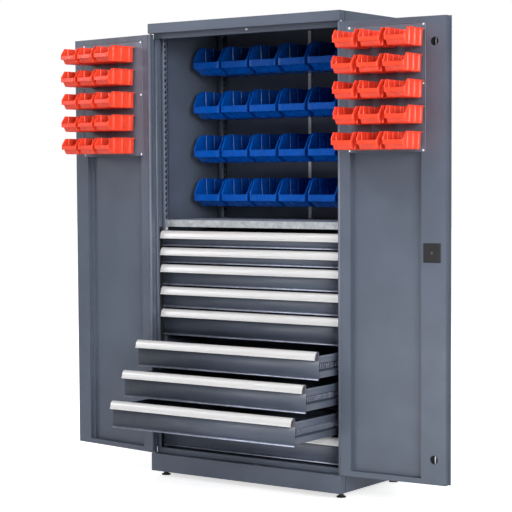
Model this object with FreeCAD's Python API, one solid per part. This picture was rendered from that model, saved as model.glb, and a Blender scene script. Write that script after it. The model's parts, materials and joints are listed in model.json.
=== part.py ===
import FreeCAD, Part
import math
import os
from FreeCAD import Vector

# Overall size of the cabinet, in millimetres
WIDTH = 1000.0
HEIGHT = 2000.0
DEPTH = 540.0
FOOT_HEIGHT = 24.5

# How far a cut runs past its sheet, and the faces of a small round piece
CUT_SPARE = 1.0
ROUND_SIDES = 8
NUT_SIDES = 6

# Folded sheet of the carcass
SHEET = 1.2
FOLD = 2.0
SIDE_FLANGE = 22.0
SIDE_RETURN = 20.0
REAR_FLANGE = 20.0
FOOT_FLANGE = 60.0
SKIRT = 20.0

# Beams above and below the doors, with their door-stop lips
CAP_HEIGHT = 42.4
PLINTH_HEIGHT = 78.0
BEAM_DEPTH = 38.0
BEAM_JOINT = 4.0
STOP_LIP = 22.0
STOP_RETURN = 20.0

# Perforated uprights
UPRIGHT_FACE = 33.0
UPRIGHT_WIDTH = 30.0
UPRIGHT_SETBACK = 6.0
REAR_UPRIGHT_SETBACK = 10.0
HOLE_PITCH = 25.0
HOLE_WIDTH = 7.0
HOLE_HEIGHT = 9.0
HOLE_LINE = 13.0
REAR_SKIP_COUNT = 4

# Centre strip on the back wall
STRIP_WIDTH = 16.0
STRIP_DEPTH = 9.0

# Galvanised shelf and its clips
SHELF_EDGE = 30.0
SHELF_UNDER_GAP = 17.5
SHELF_SHEET = 1.0
SHELF_SIDE_GAP = 3.0
SHELF_SETBACK = 2.0
SHELF_LIP = 14.0
CLIP_WIDTH = 12.0
CLIP_DROP = 15.0
CLIP_REACH = 11.0
CLIP_SHEET = 1.5

# Levelling feet
FOOT_INSET = 35.0
FRONT_FOOT = 60.0
REAR_FOOT_INSET = 60.0
PAD_RADIUS = 20.0
PAD_EDGE = 5.0
PAD_HEIGHT = 13.0
PAD_HUB = 11.0
STUD_RADIUS = 5.0
STUD_LENGTH = 44.0
STUD_COLLAR = 8.5
COLLAR_HEIGHT = 7.0

# Doors and hinge pins
DOOR_THICK = 28.0
DOOR_SHEET = 1.0
DOOR_FOLD = 1.5
DOOR_SIDE_GAP = 1.5
DOOR_MEETING_GAP = 5.0
DOOR_BOTTOM_GAP = 2.0
DOOR_TOP_GAP = 4.6
DOOR_RAIL = 22.0
STILE_FOOT = 12.0
HINGE_STILE = 57.0
PIVOT_INSET = 4.0
PIN_RADIUS = 2.75
PIN_PLAY = 0.05
PIN_ENTRY = 14.0
PIN_TAIL = 12.0
PIN_COLLAR = 5.5
COLLAR_PLAY = 0.1
LEFT_OPEN_ANGLE = 187.6
RIGHT_OPEN_ANGLE = 183.1

# Closing stiles, as wide as the lock and the step need
RIGHT_STILE = 118.0
CLOSING_FLANGE = 10.0
LEFT_STILE = 80.0
LEFT_STEP_WIDTH = 16.0
LEFT_STEP_DEPTH = 14.0

# Louvre panels
LOUVRE_TOP_GAP = 22.0
LOUVRE_HEIGHT = 508.0
LOUVRE_START = 42.0
RIGHT_LOUVRE_INSET = 99.0
LEFT_LOUVRE_INSET = 58.0
LOUVRE_SHEET = 1.0
LIP_STAND = 5.0
LIP_HEIGHT = 13.0

# Red bins on the doors
RED_LENGTH = 162.0
RED_WIDTH = 98.0
RED_HEIGHT = 70.0
RED_LIP_TOP = 37.0
RED_LIP_BOTTOM = 20.0
RED_RIM_END = 142.0
RED_TOE = 22.0
RED_TAPER = 4.0
RED_WALL = 2.0
RED_RIGHT_PITCH = 115.0
RED_LEFT_PITCH = 110.5
RED_TOP_GAP = 26.0
RED_ROW_PITCH = 100.4
RED_RIGHT_START = 67.0
RED_LEFT_START = 84.0
RED_RIGHT_SHIFTS = [0.0, -6.0, -1.0, 2.0, -7.0]
RED_LEFT_SHIFTS = [0.0, 1.0, -1.0, 2.0, 1.0]

# Blue bins in the cabinet
BLUE_LENGTH = 255.0
BLUE_WIDTH = 150.0
BLUE_HEIGHT = 125.0
BLUE_LIP_TOP = 54.0
BLUE_LIP_BOTTOM = 25.0
BLUE_RIM_END = 211.0
BLUE_TOE = 57.0
BLUE_TAPER = 7.0
BLUE_WALL = 2.5
BLUE_PITCH = 155.0
BLUE_TOP_GAP = 87.5
BLUE_ROW_PITCH = 197.0

# Shared details of both bin kinds
RIM_WIDTH = 3.0
RIM_THICK = 3.0
LIP_STEP = 11.0
HOOK_DROP = 12.0
HOOK_DEPTH = 8.0
HOOK_THICK = 2.0
HOOK_REACH = 4.0
HOOK_PLAY = 0.5
HOOK_SHARE = 0.55

# Bin rails across the back
RAIL_SHEET = 1.2
RAIL_TROUGH = 14.0
RAIL_BACK = 24.0

# Drawers, from the top one down
FLOOR_GAP = 8.5
DRAWER_GAP = 7.5
LOW_FRONT = 67.0
MIDDLE_FRONT = 91.5
TALL_FRONT = 116.5
LOW_COUNT = 2
MIDDLE_COUNT = 2
TALL_COUNT = 5
DRAWER_SHEET = 1.0
FRONT_INSET = 27.0
FRONT_FACE = 60.0
FRONT_LIP = 7.0
TRAY_GAP = 5.0
TRAY_BACK_GAP = 39.0
TRAY_DROP = 19.0
TRAY_LIFT = 6.0
TRAY_RIM = 8.0
HEM_HEIGHT = 9.0
HEM_STAND = 2.0
RECESS_HEIGHT = 28.0
RECESS_DEPTH = 11.0
SIXTH_PULL = 177.0
SEVENTH_PULL = 271.0
EIGHTH_PULL = 350.0

# Drawer rails
SLIDE_SHEET = 1.2
SLIDE_CLEAR = 2.0
SLIDE_PLAY = 0.4
SLIDE_END = 20.0

# Handle rails of the drawers
HANDLE_INSET = 2.0
HANDLE_HEIGHT = 34.0
HANDLE_REACH = 25.0
HANDLE_TOP_DEPTH = 14.0
HANDLE_WALL = 2.5
HANDLE_NOSE = 6.0
HANDLE_BACK = 22.0
HANDLE_CAP = 3.0
HANDLE_ROUND = 7.0

# Lock in the right door, measured from its closing edge and the floor
LOCK_INSET = 70.0
LOCK_Z = 1026.0
ROD_INSET = 61.0
ROD_RADIUS = 4.0
ROD_PLAY = 0.4
PITCH_RADIUS = 10.186
MESH_PLAY = 0.15
RACK_WIDTH = 8.0
RACK_THICK = 5.0
RACK_LENGTH = 70.0
CASE_WIDTH = 52.0
CASE_HEIGHT = 72.0
CASE_DEPTH = 21.0
CASE_WALL = 1.5
COVER_SIZE = 76.0
COVER_THICK = 4.5
SPINDLE_RADIUS = 5.0
SPINDLE_PLAY = 0.05
PLATE_THICK = 3.0
PLATE_WIDTH = 34.0
PLATE_HEIGHT = 130.0
PLATE_CORNER = 9.0
BOSS_RADIUS = 13.0
BOSS_LENGTH = 13.0
LEVER_LENGTH = 112.0
LEVER_WIDTH = 20.0
LEVER_TIP = 16.0
LEVER_CORNER = 6.0
LEVER_THICK = 8.0
SIGHT_RADIUS = 17.0
SIGHT_SIDES = 24
UPPER_SIGHT_INSET = 98.8
LOWER_SIGHT_INSET = 100.8
GUIDE_WIDTH = 22.0
GUIDE_HEIGHT = 14.0
GUIDE_DEPTH = 19.6
GUIDE_SHIFT = 42.0

# Heights and faces that follow from the sizes above
HALF = WIDTH / 2
SIDE_INNER = HALF - SHEET
CAP_BOTTOM = HEIGHT - CAP_HEIGHT
PLINTH_TOP = FOOT_HEIGHT + PLINTH_HEIGHT
FLOOR_TOP = PLINTH_TOP + STOP_LIP
ROOF_UNDER = HEIGHT - SHEET
SIDE_FRONT = BEAM_DEPTH + BEAM_JOINT
SIDE_BACK = SIDE_FRONT + SIDE_RETURN
RETURN_FACE = HALF - SIDE_FLANGE
BACK_FACE = DEPTH - 2 * SHEET
REAR_FOOT = DEPTH - REAR_FOOT_INSET
UPRIGHT_X = HALF - UPRIGHT_FACE
UPRIGHT_FRONT = SIDE_BACK + UPRIGHT_SETBACK
REAR_UPRIGHT_FRONT = DEPTH - REAR_UPRIGHT_SETBACK - UPRIGHT_WIDTH
UPRIGHT_TOP = ROOF_UNDER - SKIRT
STRIP_FACE = BACK_FACE - STRIP_DEPTH
FRONTS = [LOW_FRONT] * LOW_COUNT + [MIDDLE_FRONT] * MIDDLE_COUNT + [TALL_FRONT] * TALL_COUNT
PULLS = {6: SIXTH_PULL, 7: SEVENTH_PULL, 8: EIGHTH_PULL}
FIRST_HANDLE_TOP = FLOOR_TOP + FLOOR_GAP + sum(FRONTS) + DRAWER_GAP * (len(FRONTS) - 1)
SHELF_TOP = FIRST_HANDLE_TOP + SHELF_UNDER_GAP + SHELF_EDGE
HOLE_COUNT = int((UPRIGHT_TOP - SHELF_TOP) // HOLE_PITCH) - 1
FRONT_HALF = HALF - FRONT_INSET
HANDLE_HALF = FRONT_HALF - HANDLE_INSET
TRAY_HALF = UPRIGHT_X - TRAY_GAP
TRAY_DEPTH = DEPTH - FRONT_FACE - DRAWER_SHEET - TRAY_BACK_GAP
SLIDE_REACH = TRAY_GAP + RECESS_DEPTH - SLIDE_CLEAR
DOOR_BOTTOM = PLINTH_TOP + DOOR_BOTTOM_GAP
DOOR_TOP = CAP_BOTTOM - DOOR_TOP_GAP
DOOR_EDGE = HALF - DOOR_SIDE_GAP
DOOR_WIDTH = DOOR_EDGE - DOOR_MEETING_GAP / 2
PIVOT_X = DOOR_EDGE - PIVOT_INSET
PIVOT_Y = DOOR_THICK / 2
STILE_BACK = DOOR_THICK - DOOR_SHEET
LOCK_S = DOOR_WIDTH - LOCK_INSET
ROD_S = DOOR_WIDTH - ROD_INSET
UPPER_SIGHT = DOOR_TOP - UPPER_SIGHT_INSET
LOWER_SIGHT = DOOR_BOTTOM + LOWER_SIGHT_INSET
LOUVRE_TOP = DOOR_TOP - LOUVRE_TOP_GAP
LOUVRE_BOTTOM = LOUVRE_TOP - LOUVRE_HEIGHT
RIGHT_LOUVRE_END = DOOR_WIDTH - RIGHT_LOUVRE_INSET
LEFT_LOUVRE_END = DOOR_WIDTH - LEFT_LOUVRE_INSET
RED_ROW_TOP = LOUVRE_TOP - RED_TOP_GAP
RED_ROWS = int((RED_ROW_TOP - RED_HEIGHT - LOUVRE_BOTTOM) // RED_ROW_PITCH) + 1
BLUE_TOP_ROW = HEIGHT - BLUE_TOP_GAP - BLUE_HEIGHT
BLUE_ROWS = int((BLUE_TOP_ROW - SHELF_TOP) // BLUE_ROW_PITCH) + 1
BLUE_COLUMNS = int(2 * UPRIGHT_X // BLUE_PITCH)
BIN_BACK = DOOR_THICK + LOUVRE_SHEET + LIP_STAND + HOOK_PLAY
HOOK_BEHIND = HOOK_REACH - HOOK_THICK
RAIL_FACE = STRIP_FACE - HOOK_REACH - RAIL_SHEET - HOOK_PLAY
BLUE_BACK = RAIL_FACE - HOOK_PLAY
REST_FRONT = FRONT_FACE - HANDLE_REACH - EIGHTH_PULL
ORIGIN_Y = (DEPTH + REST_FRONT) / 2


def outline(points, radii):
    """Closed wire through the points, with every corner rounded by its own radius."""
    corners = []
    for i, corner in enumerate(points):
        if radii[i] <= 0:
            corners.append((corner, None, corner))
            continue
        back = (points[i - 1] - corner).normalize()
        ahead = (points[(i + 1) % len(points)] - corner).normalize()
        half = back.getAngle(ahead) / 2
        run = radii[i] / math.tan(half)
        inward = (back + ahead).normalize()
        middle = corner + inward * (radii[i] / math.sin(half) - radii[i])
        corners.append((corner + back * run, middle, corner + ahead * run))
    edges = []
    for i, (start, middle, stop) in enumerate(corners):
        if middle is not None:
            edges.append(Part.Arc(start, middle, stop).toShape())
        following = corners[(i + 1) % len(corners)][0]
        if (following - stop).Length > 1e-6:
            edges.append(Part.LineSegment(stop, following).toShape())
    return Part.Wire(edges)


def extruded(points, radii, travel):
    """Solid swept along a straight travel from a rounded polygon."""
    return Part.Face(outline(points, radii or [0] * len(points))).extrude(travel)


def prism_x(section, start, stop, radii=None):
    """Bar along X from a section given as (y, z)."""
    points = [Vector(start, y, z) for y, z in section]
    return extruded(points, radii, Vector(stop - start, 0, 0))


def prism_y(section, start, stop, radii=None):
    """Bar along Y from a section given as (x, z)."""
    points = [Vector(x, start, z) for x, z in section]
    return extruded(points, radii, Vector(0, stop - start, 0))


def prism_z(section, start, stop, radii=None):
    """Bar along Z from a section given as (x, y)."""
    points = [Vector(x, y, start) for x, y in section]
    return extruded(points, radii, Vector(0, 0, stop - start))


def block(x0, x1, y0, y1, z0, z1):
    """Plain box between two corners."""
    return Part.makeBox(x1 - x0, y1 - y0, z1 - z0, Vector(x0, y0, z0))


def round_bar(radius, start, travel, sides=ROUND_SIDES):
    """Small round bar with few faces, its corners on the radius."""
    ring = Part.Circle(start, travel, radius).toShape().discretize(sides + 1)[:sides]
    return Part.Face(Part.makePolygon(ring + ring[:1])).extrude(travel)


def round_bore(radius, start, travel, sides=ROUND_SIDES):
    """Cut for a round hole with few faces, its flats on the radius so that a round bar turns in it."""
    return round_bar(radius / math.cos(math.pi / sides), start, travel, sides)


def offset_path(path, thick):
    """Second face of a folded sheet that lies to the left of the path."""
    normals = []
    for (a, b), (c, d) in zip(path, path[1:]):
        length = math.hypot(c - a, d - b)
        normals.append(((b - d) / length, (c - a) / length))
    normals = [normals[0]] + normals + [normals[-1]]
    shifted = []
    for i, (a, b) in enumerate(path):
        (m, n), (p, q) = normals[i], normals[i + 1]
        scale = thick / (1 + m * p + n * q)
        shifted.append((a + scale * (m + p), b + scale * (n + q)))
    return shifted


def folded(path, thick, radius):
    """Section of a folded sheet with its corner radii, the sheet left of the path."""
    near = [0.0]
    far = [0.0]
    for (a, b), (c, d), (e, f) in zip(path, path[1:], path[2:]):
        left_turn = (c - a) * (f - d) - (d - b) * (e - c) > 0
        tight = max(radius - thick, 0.0)
        near.append(radius if left_turn else tight)
        far.append(tight if left_turn else radius)
    near.append(0.0)
    far.append(0.0)
    return path + offset_path(path, thick)[::-1], near + far[::-1]


def sheet_x(path, thick, radius, start, stop):
    """Folded sheet that runs along X."""
    section, radii = folded(path, thick, radius)
    return prism_x(section, start, stop, radii)


def sheet_y(path, thick, radius, start, stop):
    """Folded sheet that runs along Y."""
    section, radii = folded(path, thick, radius)
    return prism_y(section, start, stop, radii)


def sheet_z(path, thick, radius, start, stop):
    """Folded sheet that stands along Z."""
    section, radii = folded(path, thick, radius)
    return prism_z(section, start, stop, radii)


def mirrored(shape):
    """The same piece on the other side of the cabinet."""
    return shape.mirror(Vector(0, 0, 0), Vector(1, 0, 0))


def joined(shapes):
    """One solid from pieces that run into each other."""
    return shapes[0].multiFuse(shapes[1:]).removeSplitter()


def side_panel():
    """Right side panel with flanges at the front, the back and the foot."""
    path = [(RETURN_FACE, SIDE_BACK), (RETURN_FACE, SIDE_FRONT), (HALF, SIDE_FRONT),
            (HALF, DEPTH), (HALF - REAR_FLANGE, DEPTH)]
    wall = sheet_z(path, SHEET, 0, FOOT_HEIGHT, ROOF_UNDER)
    flange = block(HALF - FOOT_FLANGE, SIDE_INNER, SIDE_BACK, BACK_FACE, FOOT_HEIGHT, FOOT_HEIGHT + SHEET)
    panel = joined([wall, flange])
    for y in (FRONT_FOOT, REAR_FOOT):
        stud = Vector(HALF - FOOT_INSET, y, FOOT_HEIGHT - CUT_SPARE)
        panel = panel.cut(round_bore(STUD_RADIUS, stud, Vector(0, 0, SHEET + 2 * CUT_SPARE)))
    return panel


def back_panel():
    """Back sheet between the rear flanges of the sides."""
    half = HALF - FOLD
    return block(-half, half, BACK_FACE, DEPTH - SHEET, FOOT_HEIGHT, ROOF_UNDER)


def roof_panel():
    """Roof sheet with a skirt folded down along each side."""
    pieces = [block(-HALF, HALF, BEAM_DEPTH, DEPTH, ROOF_UNDER, HEIGHT)]
    for x in (-SIDE_INNER, SIDE_INNER - SHEET):
        pieces.append(block(x, x + SHEET, SIDE_BACK, BACK_FACE, UPRIGHT_TOP, ROOF_UNDER))
    return joined(pieces)


def floor_panel():
    """Floor sheet notched round the side returns, with its side skirts."""
    plan = [(-RETURN_FACE, BEAM_DEPTH + STOP_RETURN), (RETURN_FACE, BEAM_DEPTH + STOP_RETURN),
            (RETURN_FACE, SIDE_BACK), (SIDE_INNER, SIDE_BACK), (SIDE_INNER, BACK_FACE),
            (-SIDE_INNER, BACK_FACE), (-SIDE_INNER, SIDE_BACK), (-RETURN_FACE, SIDE_BACK)]
    pieces = [prism_z(plan, FLOOR_TOP - SHEET, FLOOR_TOP)]
    for x in (-SIDE_INNER, SIDE_INNER - SHEET):
        pieces.append(block(x, x + SHEET, SIDE_BACK, BACK_FACE, FLOOR_TOP - SKIRT, FLOOR_TOP - SHEET))
    return joined(pieces)


def beam(bottom, top):
    """Folded front beam closed at both ends."""
    path = [(BEAM_DEPTH, top), (0, top), (0, bottom), (BEAM_DEPTH, bottom)]
    pieces = [sheet_x(path, SHEET, FOLD, -HALF, HALF)]
    for x in (-HALF, HALF - SHEET):
        pieces.append(block(x, x + SHEET, SHEET / 2, BEAM_DEPTH, bottom + SHEET / 2, top - SHEET / 2))
    return pieces


def pin_bores(radius, bottom, top):
    """Two upright bores on the door axes."""
    bores = []
    for x in (-PIVOT_X, PIVOT_X):
        bores.append(round_bore(radius, Vector(x, PIVOT_Y, bottom), Vector(0, 0, top - bottom)))
    return bores


def keeper(z):
    """Bore in a beam that takes the end of a lock rod."""
    foot = Vector(DOOR_EDGE - ROD_S, PIVOT_Y, z - SHEET - CUT_SPARE)
    return round_bore(ROD_RADIUS + 2 * ROD_PLAY, foot, Vector(0, 0, 2 * SHEET + 2 * CUT_SPARE))


def cap_beam():
    """Beam over the doors with its stop lip."""
    lip = [(BEAM_DEPTH - STOP_LIP / 2, CAP_BOTTOM), (BEAM_DEPTH, CAP_BOTTOM),
           (BEAM_DEPTH, CAP_BOTTOM - STOP_LIP), (BEAM_DEPTH + STOP_RETURN, CAP_BOTTOM - STOP_LIP)]
    stop = sheet_x(lip, SHEET, 0, -RETURN_FACE, RETURN_FACE)
    shape = joined(beam(CAP_BOTTOM, HEIGHT) + [stop])
    bores = pin_bores(PIN_RADIUS, CAP_BOTTOM - CUT_SPARE, CAP_BOTTOM + 2 * SHEET)
    return shape.cut(bores + [keeper(CAP_BOTTOM)])


def plinth_beam():
    """Beam under the doors with its stop lip."""
    lip = [(BEAM_DEPTH + STOP_RETURN, FLOOR_TOP), (BEAM_DEPTH, FLOOR_TOP),
           (BEAM_DEPTH, PLINTH_TOP), (BEAM_DEPTH - STOP_LIP / 2, PLINTH_TOP)]
    stop = sheet_x(lip, SHEET, 0, -RETURN_FACE, RETURN_FACE)
    shape = joined(beam(FOOT_HEIGHT, PLINTH_TOP) + [stop])
    bores = pin_bores(PIN_RADIUS, PLINTH_TOP - 2 * SHEET, PLINTH_TOP + CUT_SPARE)
    return shape.cut(bores + [keeper(PLINTH_TOP)])


def upright(front, step):
    """Right upright with its row of holes above the shelf, one at every step of the pitch."""
    path = [(SIDE_INNER, front + UPRIGHT_WIDTH), (UPRIGHT_X, front + UPRIGHT_WIDTH),
            (UPRIGHT_X, front), (SIDE_INNER, front)]
    shape = sheet_z(path, SHEET, 0, FLOOR_TOP, UPRIGHT_TOP)
    y = front + HOLE_LINE - HOLE_WIDTH / 2
    holes = []
    for i in range(0, HOLE_COUNT, step):
        z = SHELF_TOP + HOLE_PITCH * (i + 0.5) - HOLE_HEIGHT / 2
        holes.append(block(UPRIGHT_X - CUT_SPARE, UPRIGHT_X + SHEET + CUT_SPARE, y, y + HOLE_WIDTH,
                           z, z + HOLE_HEIGHT))
    return shape.cut(holes)


def back_strip():
    """Light channel up the middle of the back wall."""
    half = STRIP_WIDTH / 2
    path = [(-half, BACK_FACE), (-half, STRIP_FACE), (half, STRIP_FACE), (half, BACK_FACE)]
    return sheet_z(path, SHEET, 0, SHELF_TOP, UPRIGHT_TOP)


def zinc_shelf():
    """Shelf with all edges folded down and a lip under the front one."""
    half = UPRIGHT_X - SHELF_SIDE_GAP
    front = UPRIGHT_FRONT + SHELF_SETBACK
    under = SHELF_TOP - SHELF_EDGE
    path = [(STRIP_FACE, under), (STRIP_FACE, SHELF_TOP), (front, SHELF_TOP), (front, under),
            (front + SHELF_LIP, under)]
    pieces = [sheet_x(path, SHELF_SHEET, 0, -half, half)]
    for x in (-half, half - SHELF_SHEET):
        pieces.append(block(x, x + SHELF_SHEET, front, STRIP_FACE, under, SHELF_TOP))
    return joined(pieces)


def shelf_clips():
    """Four angle clips that carry the shelf on the uprights."""
    under = SHELF_TOP - SHELF_EDGE
    path = [(UPRIGHT_X, under - CLIP_DROP), (UPRIGHT_X, under), (UPRIGHT_X - CLIP_REACH, under)]
    clips = []
    for front in (UPRIGHT_FRONT, REAR_UPRIGHT_FRONT):
        y = front + HOLE_LINE - CLIP_WIDTH / 2
        clip = sheet_y(path, CLIP_SHEET, 0, y, y + CLIP_WIDTH)
        clips += [clip, mirrored(clip)]
    return clips


def foot_places():
    """Plan positions of the four feet."""
    x = HALF - FOOT_INSET
    return [(-x, FRONT_FOOT), (x, FRONT_FOOT), (-x, REAR_FOOT), (x, REAR_FOOT)]


def foot_pads():
    """Round pads, each with a hub that the stud stands on."""
    pads = []
    for x, y in foot_places():
        disc = round_bar(PAD_RADIUS, Vector(x, y, 0), Vector(0, 0, PAD_EDGE), 2 * ROUND_SIDES)
        hub = round_bar(PAD_HUB, Vector(x, y, PAD_EDGE), Vector(0, 0, PAD_HEIGHT - PAD_EDGE))
        pads.append(joined([disc, hub]))
    return pads


def foot_studs():
    """Levelling studs with the six-sided nut that meets the foot flange."""
    studs = []
    for x, y in foot_places():
        rod = round_bar(STUD_RADIUS, Vector(x, y, PAD_HEIGHT), Vector(0, 0, STUD_LENGTH))
        seat = Vector(x, y, FOOT_HEIGHT - COLLAR_HEIGHT)
        nut = round_bar(STUD_COLLAR, seat, Vector(0, 0, COLLAR_HEIGHT), NUT_SIDES)
        studs.append(joined([rod, nut]))
    return studs


def hinge_pin(x, foot, collar, gap):
    """One door pin with the collar that fills the gap between beam and door."""
    shank = round_bar(PIN_RADIUS, Vector(x, PIVOT_Y, foot), Vector(0, 0, PIN_TAIL + PIN_ENTRY))
    ring = round_bar(PIN_COLLAR, Vector(x, PIVOT_Y, collar), Vector(0, 0, gap - COLLAR_PLAY))
    return joined([shank, ring])


def hinge_pins():
    """Lower and upper pins of both doors."""
    pins = []
    for x in (-PIVOT_X, PIVOT_X):
        pins.append(hinge_pin(x, PLINTH_TOP - PIN_TAIL, PLINTH_TOP, DOOR_BOTTOM_GAP))
        pins.append(hinge_pin(x, CAP_BOTTOM - PIN_ENTRY, DOOR_TOP + COLLAR_PLAY, DOOR_TOP_GAP))
    return pins


def door_skin(stile, flange, bores):
    """Left-hand door pan: folded sides, end plates and short returns between the stiles."""
    x0 = -DOOR_EDGE
    x1 = x0 + DOOR_WIDTH
    path = [(x0, STILE_BACK), (x0, 0), (x1, 0)]
    if flange == 0:
        path.append((x1, STILE_BACK))
    pieces = [sheet_z(path, DOOR_SHEET, DOOR_FOLD, DOOR_BOTTOM, DOOR_TOP)]
    for plate, rail in ((DOOR_BOTTOM, DOOR_BOTTOM), (DOOR_TOP - DOOR_SHEET, DOOR_TOP - DOOR_RAIL)):
        pieces.append(block(x0, x1 - flange, DOOR_FOLD, DOOR_THICK, plate, plate + DOOR_SHEET))
        pieces.append(block(x0 + HINGE_STILE, x1 - stile, STILE_BACK, DOOR_THICK, rail, rail + DOOR_RAIL))
    return joined(pieces).cut(pin_bores(PIN_RADIUS + PIN_PLAY, 0, HEIGHT) + bores)


def stile(path):
    """Folded stile standing between the end plates of a left-hand door."""
    plan = [(s - DOOR_EDGE, t) for s, t in path]
    return sheet_z(plan, DOOR_SHEET, 0, DOOR_BOTTOM + DOOR_SHEET, DOOR_TOP - DOOR_SHEET)


def hinge_stile():
    """Stile along the hinge edge."""
    return stile([(HINGE_STILE + STILE_FOOT, 2 * DOOR_SHEET), (HINGE_STILE, 2 * DOOR_SHEET),
                  (HINGE_STILE, DOOR_THICK), (0, DOOR_THICK)])


def stepped_stile():
    """Closing stile of the left door, with a step half-way down."""
    face = DOOR_WIDTH - LEFT_STILE
    foot = face - LEFT_STEP_WIDTH
    return stile([(DOOR_WIDTH, DOOR_THICK), (face, DOOR_THICK), (face, LEFT_STEP_DEPTH),
                  (foot, LEFT_STEP_DEPTH), (foot, 2 * DOOR_SHEET), (foot - STILE_FOOT, 2 * DOOR_SHEET)])


def door_bore(s, z, radius):
    """Bore straight through a left-hand door."""
    return round_bore(radius, Vector(s - DOOR_EDGE, -2 * DOOR_THICK, z), Vector(0, 4 * DOOR_THICK, 0))


def rod_bore(radius, bottom, top):
    """Upright bore on the line of the lock rods."""
    return round_bore(radius, Vector(ROD_S - DOOR_EDGE, PIVOT_Y, bottom), Vector(0, 0, top - bottom))


def lock_stile():
    """Closing stile of the lock door with sight holes over the rods."""
    face = DOOR_WIDTH - RIGHT_STILE
    edge = DOOR_WIDTH - CLOSING_FLANGE
    shape = stile([(edge, DOOR_SHEET), (edge, DOOR_THICK), (face, DOOR_THICK), (face, 2 * DOOR_SHEET),
                   (face - STILE_FOOT, 2 * DOOR_SHEET)])
    cuts = []
    for z in (UPPER_SIGHT, LOWER_SIGHT):
        sight = Vector(ROD_S - DOOR_EDGE, STILE_BACK - CUT_SPARE, z)
        cuts.append(round_bar(SIGHT_RADIUS, sight, Vector(0, DOOR_SHEET + 2 * CUT_SPARE, 0), SIGHT_SIDES))
    centre = Vector(LOCK_S - DOOR_EDGE, STILE_BACK - CUT_SPARE, LOCK_Z)
    cuts.append(round_bore(SPINDLE_RADIUS + ROD_PLAY, centre, Vector(0, DOOR_SHEET + 2 * CUT_SPARE, 0)))
    return shape.cut(cuts)


def red_places(start, end, pitch, shifts):
    """Centres along the door and undersides of the red bins, each row hung a little aside."""
    places = []
    columns = int((end - start - RED_WIDTH) // pitch) + 1
    for row in range(RED_ROWS):
        bottom = RED_ROW_TOP - RED_HEIGHT - row * RED_ROW_PITCH
        for column in range(columns):
            places.append((start + shifts[row % len(shifts)] + RED_WIDTH / 2 + column * pitch, bottom))
    return places


def louvre_panel(end, places):
    """Left-hand louvre panel: one turned-out lip behind every row of bins."""
    pieces = [block(LOUVRE_START - DOOR_EDGE, end - DOOR_EDGE, DOOR_THICK, DOOR_THICK + LOUVRE_SHEET,
                    LOUVRE_BOTTOM, LOUVRE_TOP)]
    face = DOOR_THICK + LOUVRE_SHEET
    stand = face + LIP_STAND
    half = RED_WIDTH * HOOK_SHARE / 2 + LIP_STAND
    for bottom in sorted({place[1] for place in places}):
        row = [s - DOOR_EDGE for s, z in places if z == bottom]
        top = bottom + RED_HEIGHT - HOOK_DROP - HOOK_THICK - HOOK_PLAY
        foot = top - LIP_HEIGHT
        section = [(face - LOUVRE_SHEET / 2, foot), (face, foot), (stand, foot + LIP_STAND), (stand, top),
                   (stand - LOUVRE_SHEET, top), (stand - LOUVRE_SHEET, foot + LIP_STAND + LOUVRE_SHEET),
                   (face - LOUVRE_SHEET / 2, foot + 2 * LOUVRE_SHEET)]
        pieces.append(prism_x(section, min(row) - half, max(row) + half))
    return joined(pieces)


def bin_walls(length, half_low, half_top, height, lip_top, lip_bottom, rim_end, toe, wall):
    """Tapered open box with a low front lip, its back at Y zero and its front toward minus Y."""
    profile = [(0, 0), (toe - length, 0), (LIP_STEP - length, lip_bottom), (-length, lip_bottom),
               (-length, lip_top), (-rim_end, height), (0, height)]
    mouth = height + CUT_SPARE
    inside = [(-wall, wall), (toe + wall - length, wall), (LIP_STEP + wall - length, lip_bottom + wall),
              (wall - length, lip_bottom + wall), (wall - length, mouth), (-wall, mouth)]
    front = [(-half_low, 0), (half_low, 0), (half_top, height), (-half_top, height)]
    hollow = [(wall - half_low, 0), (half_low - wall, 0), (half_top - wall, mouth), (wall - half_top, mouth)]
    shell = prism_x(profile, -half_top, half_top).common(prism_y(front, 0, -length))
    cavity = prism_x(inside, -half_top, half_top).common(prism_y(hollow, 0, -length))
    return shell, cavity


def bin_box(length, width, height, lip_top, lip_bottom, rim_end, toe, taper, wall):
    """Stacking bin with its rim and the hook on its back."""
    half_top = width / 2 - RIM_WIDTH
    half_low = half_top - taper
    shell, cavity = bin_walls(length, half_low, half_top, height, lip_top, lip_bottom, rim_end, toe, wall)
    rim_path = [(0, height), (-rim_end, height), (-length, lip_top)]
    rim = sheet_x(rim_path, RIM_THICK, 0, -width / 2, width / 2)
    high = height - HOOK_DROP
    hook = [(0, high), (HOOK_REACH, high), (HOOK_REACH, high - HOOK_DEPTH), (HOOK_BEHIND, high - HOOK_DEPTH),
            (HOOK_BEHIND, high - HOOK_THICK), (0, high - HOOK_THICK)]
    pieces = [shell, rim, prism_x(hook, -width * HOOK_SHARE / 2, width * HOOK_SHARE / 2)]
    return joined(pieces).cut(cavity)


def blue_row(row):
    """Six blue bins side by side on one rail."""
    sample = bin_box(BLUE_LENGTH, BLUE_WIDTH, BLUE_HEIGHT, BLUE_LIP_TOP, BLUE_LIP_BOTTOM, BLUE_RIM_END,
                     BLUE_TOE, BLUE_TAPER, BLUE_WALL)
    bottom = BLUE_TOP_ROW - row * BLUE_ROW_PITCH
    bins = []
    for column in range(BLUE_COLUMNS):
        x = (column - (BLUE_COLUMNS - 1) / 2) * BLUE_PITCH
        bins.append(sample.translated(Vector(x, BLUE_BACK, bottom)))
    return bins


def red_bins(places):
    """Fifteen red bins on a left-hand door, fronts toward the cabinet when it is shut."""
    sample = bin_box(RED_LENGTH, RED_WIDTH, RED_HEIGHT, RED_LIP_TOP, RED_LIP_BOTTOM, RED_RIM_END,
                     RED_TOE, RED_TAPER, RED_WALL)
    sample.rotate(Vector(0, 0, 0), Vector(0, 0, 1), 180)
    bins = []
    for s, bottom in places:
        bins.append(sample.translated(Vector(s - DOOR_EDGE, BIN_BACK, bottom)))
    return bins


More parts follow.
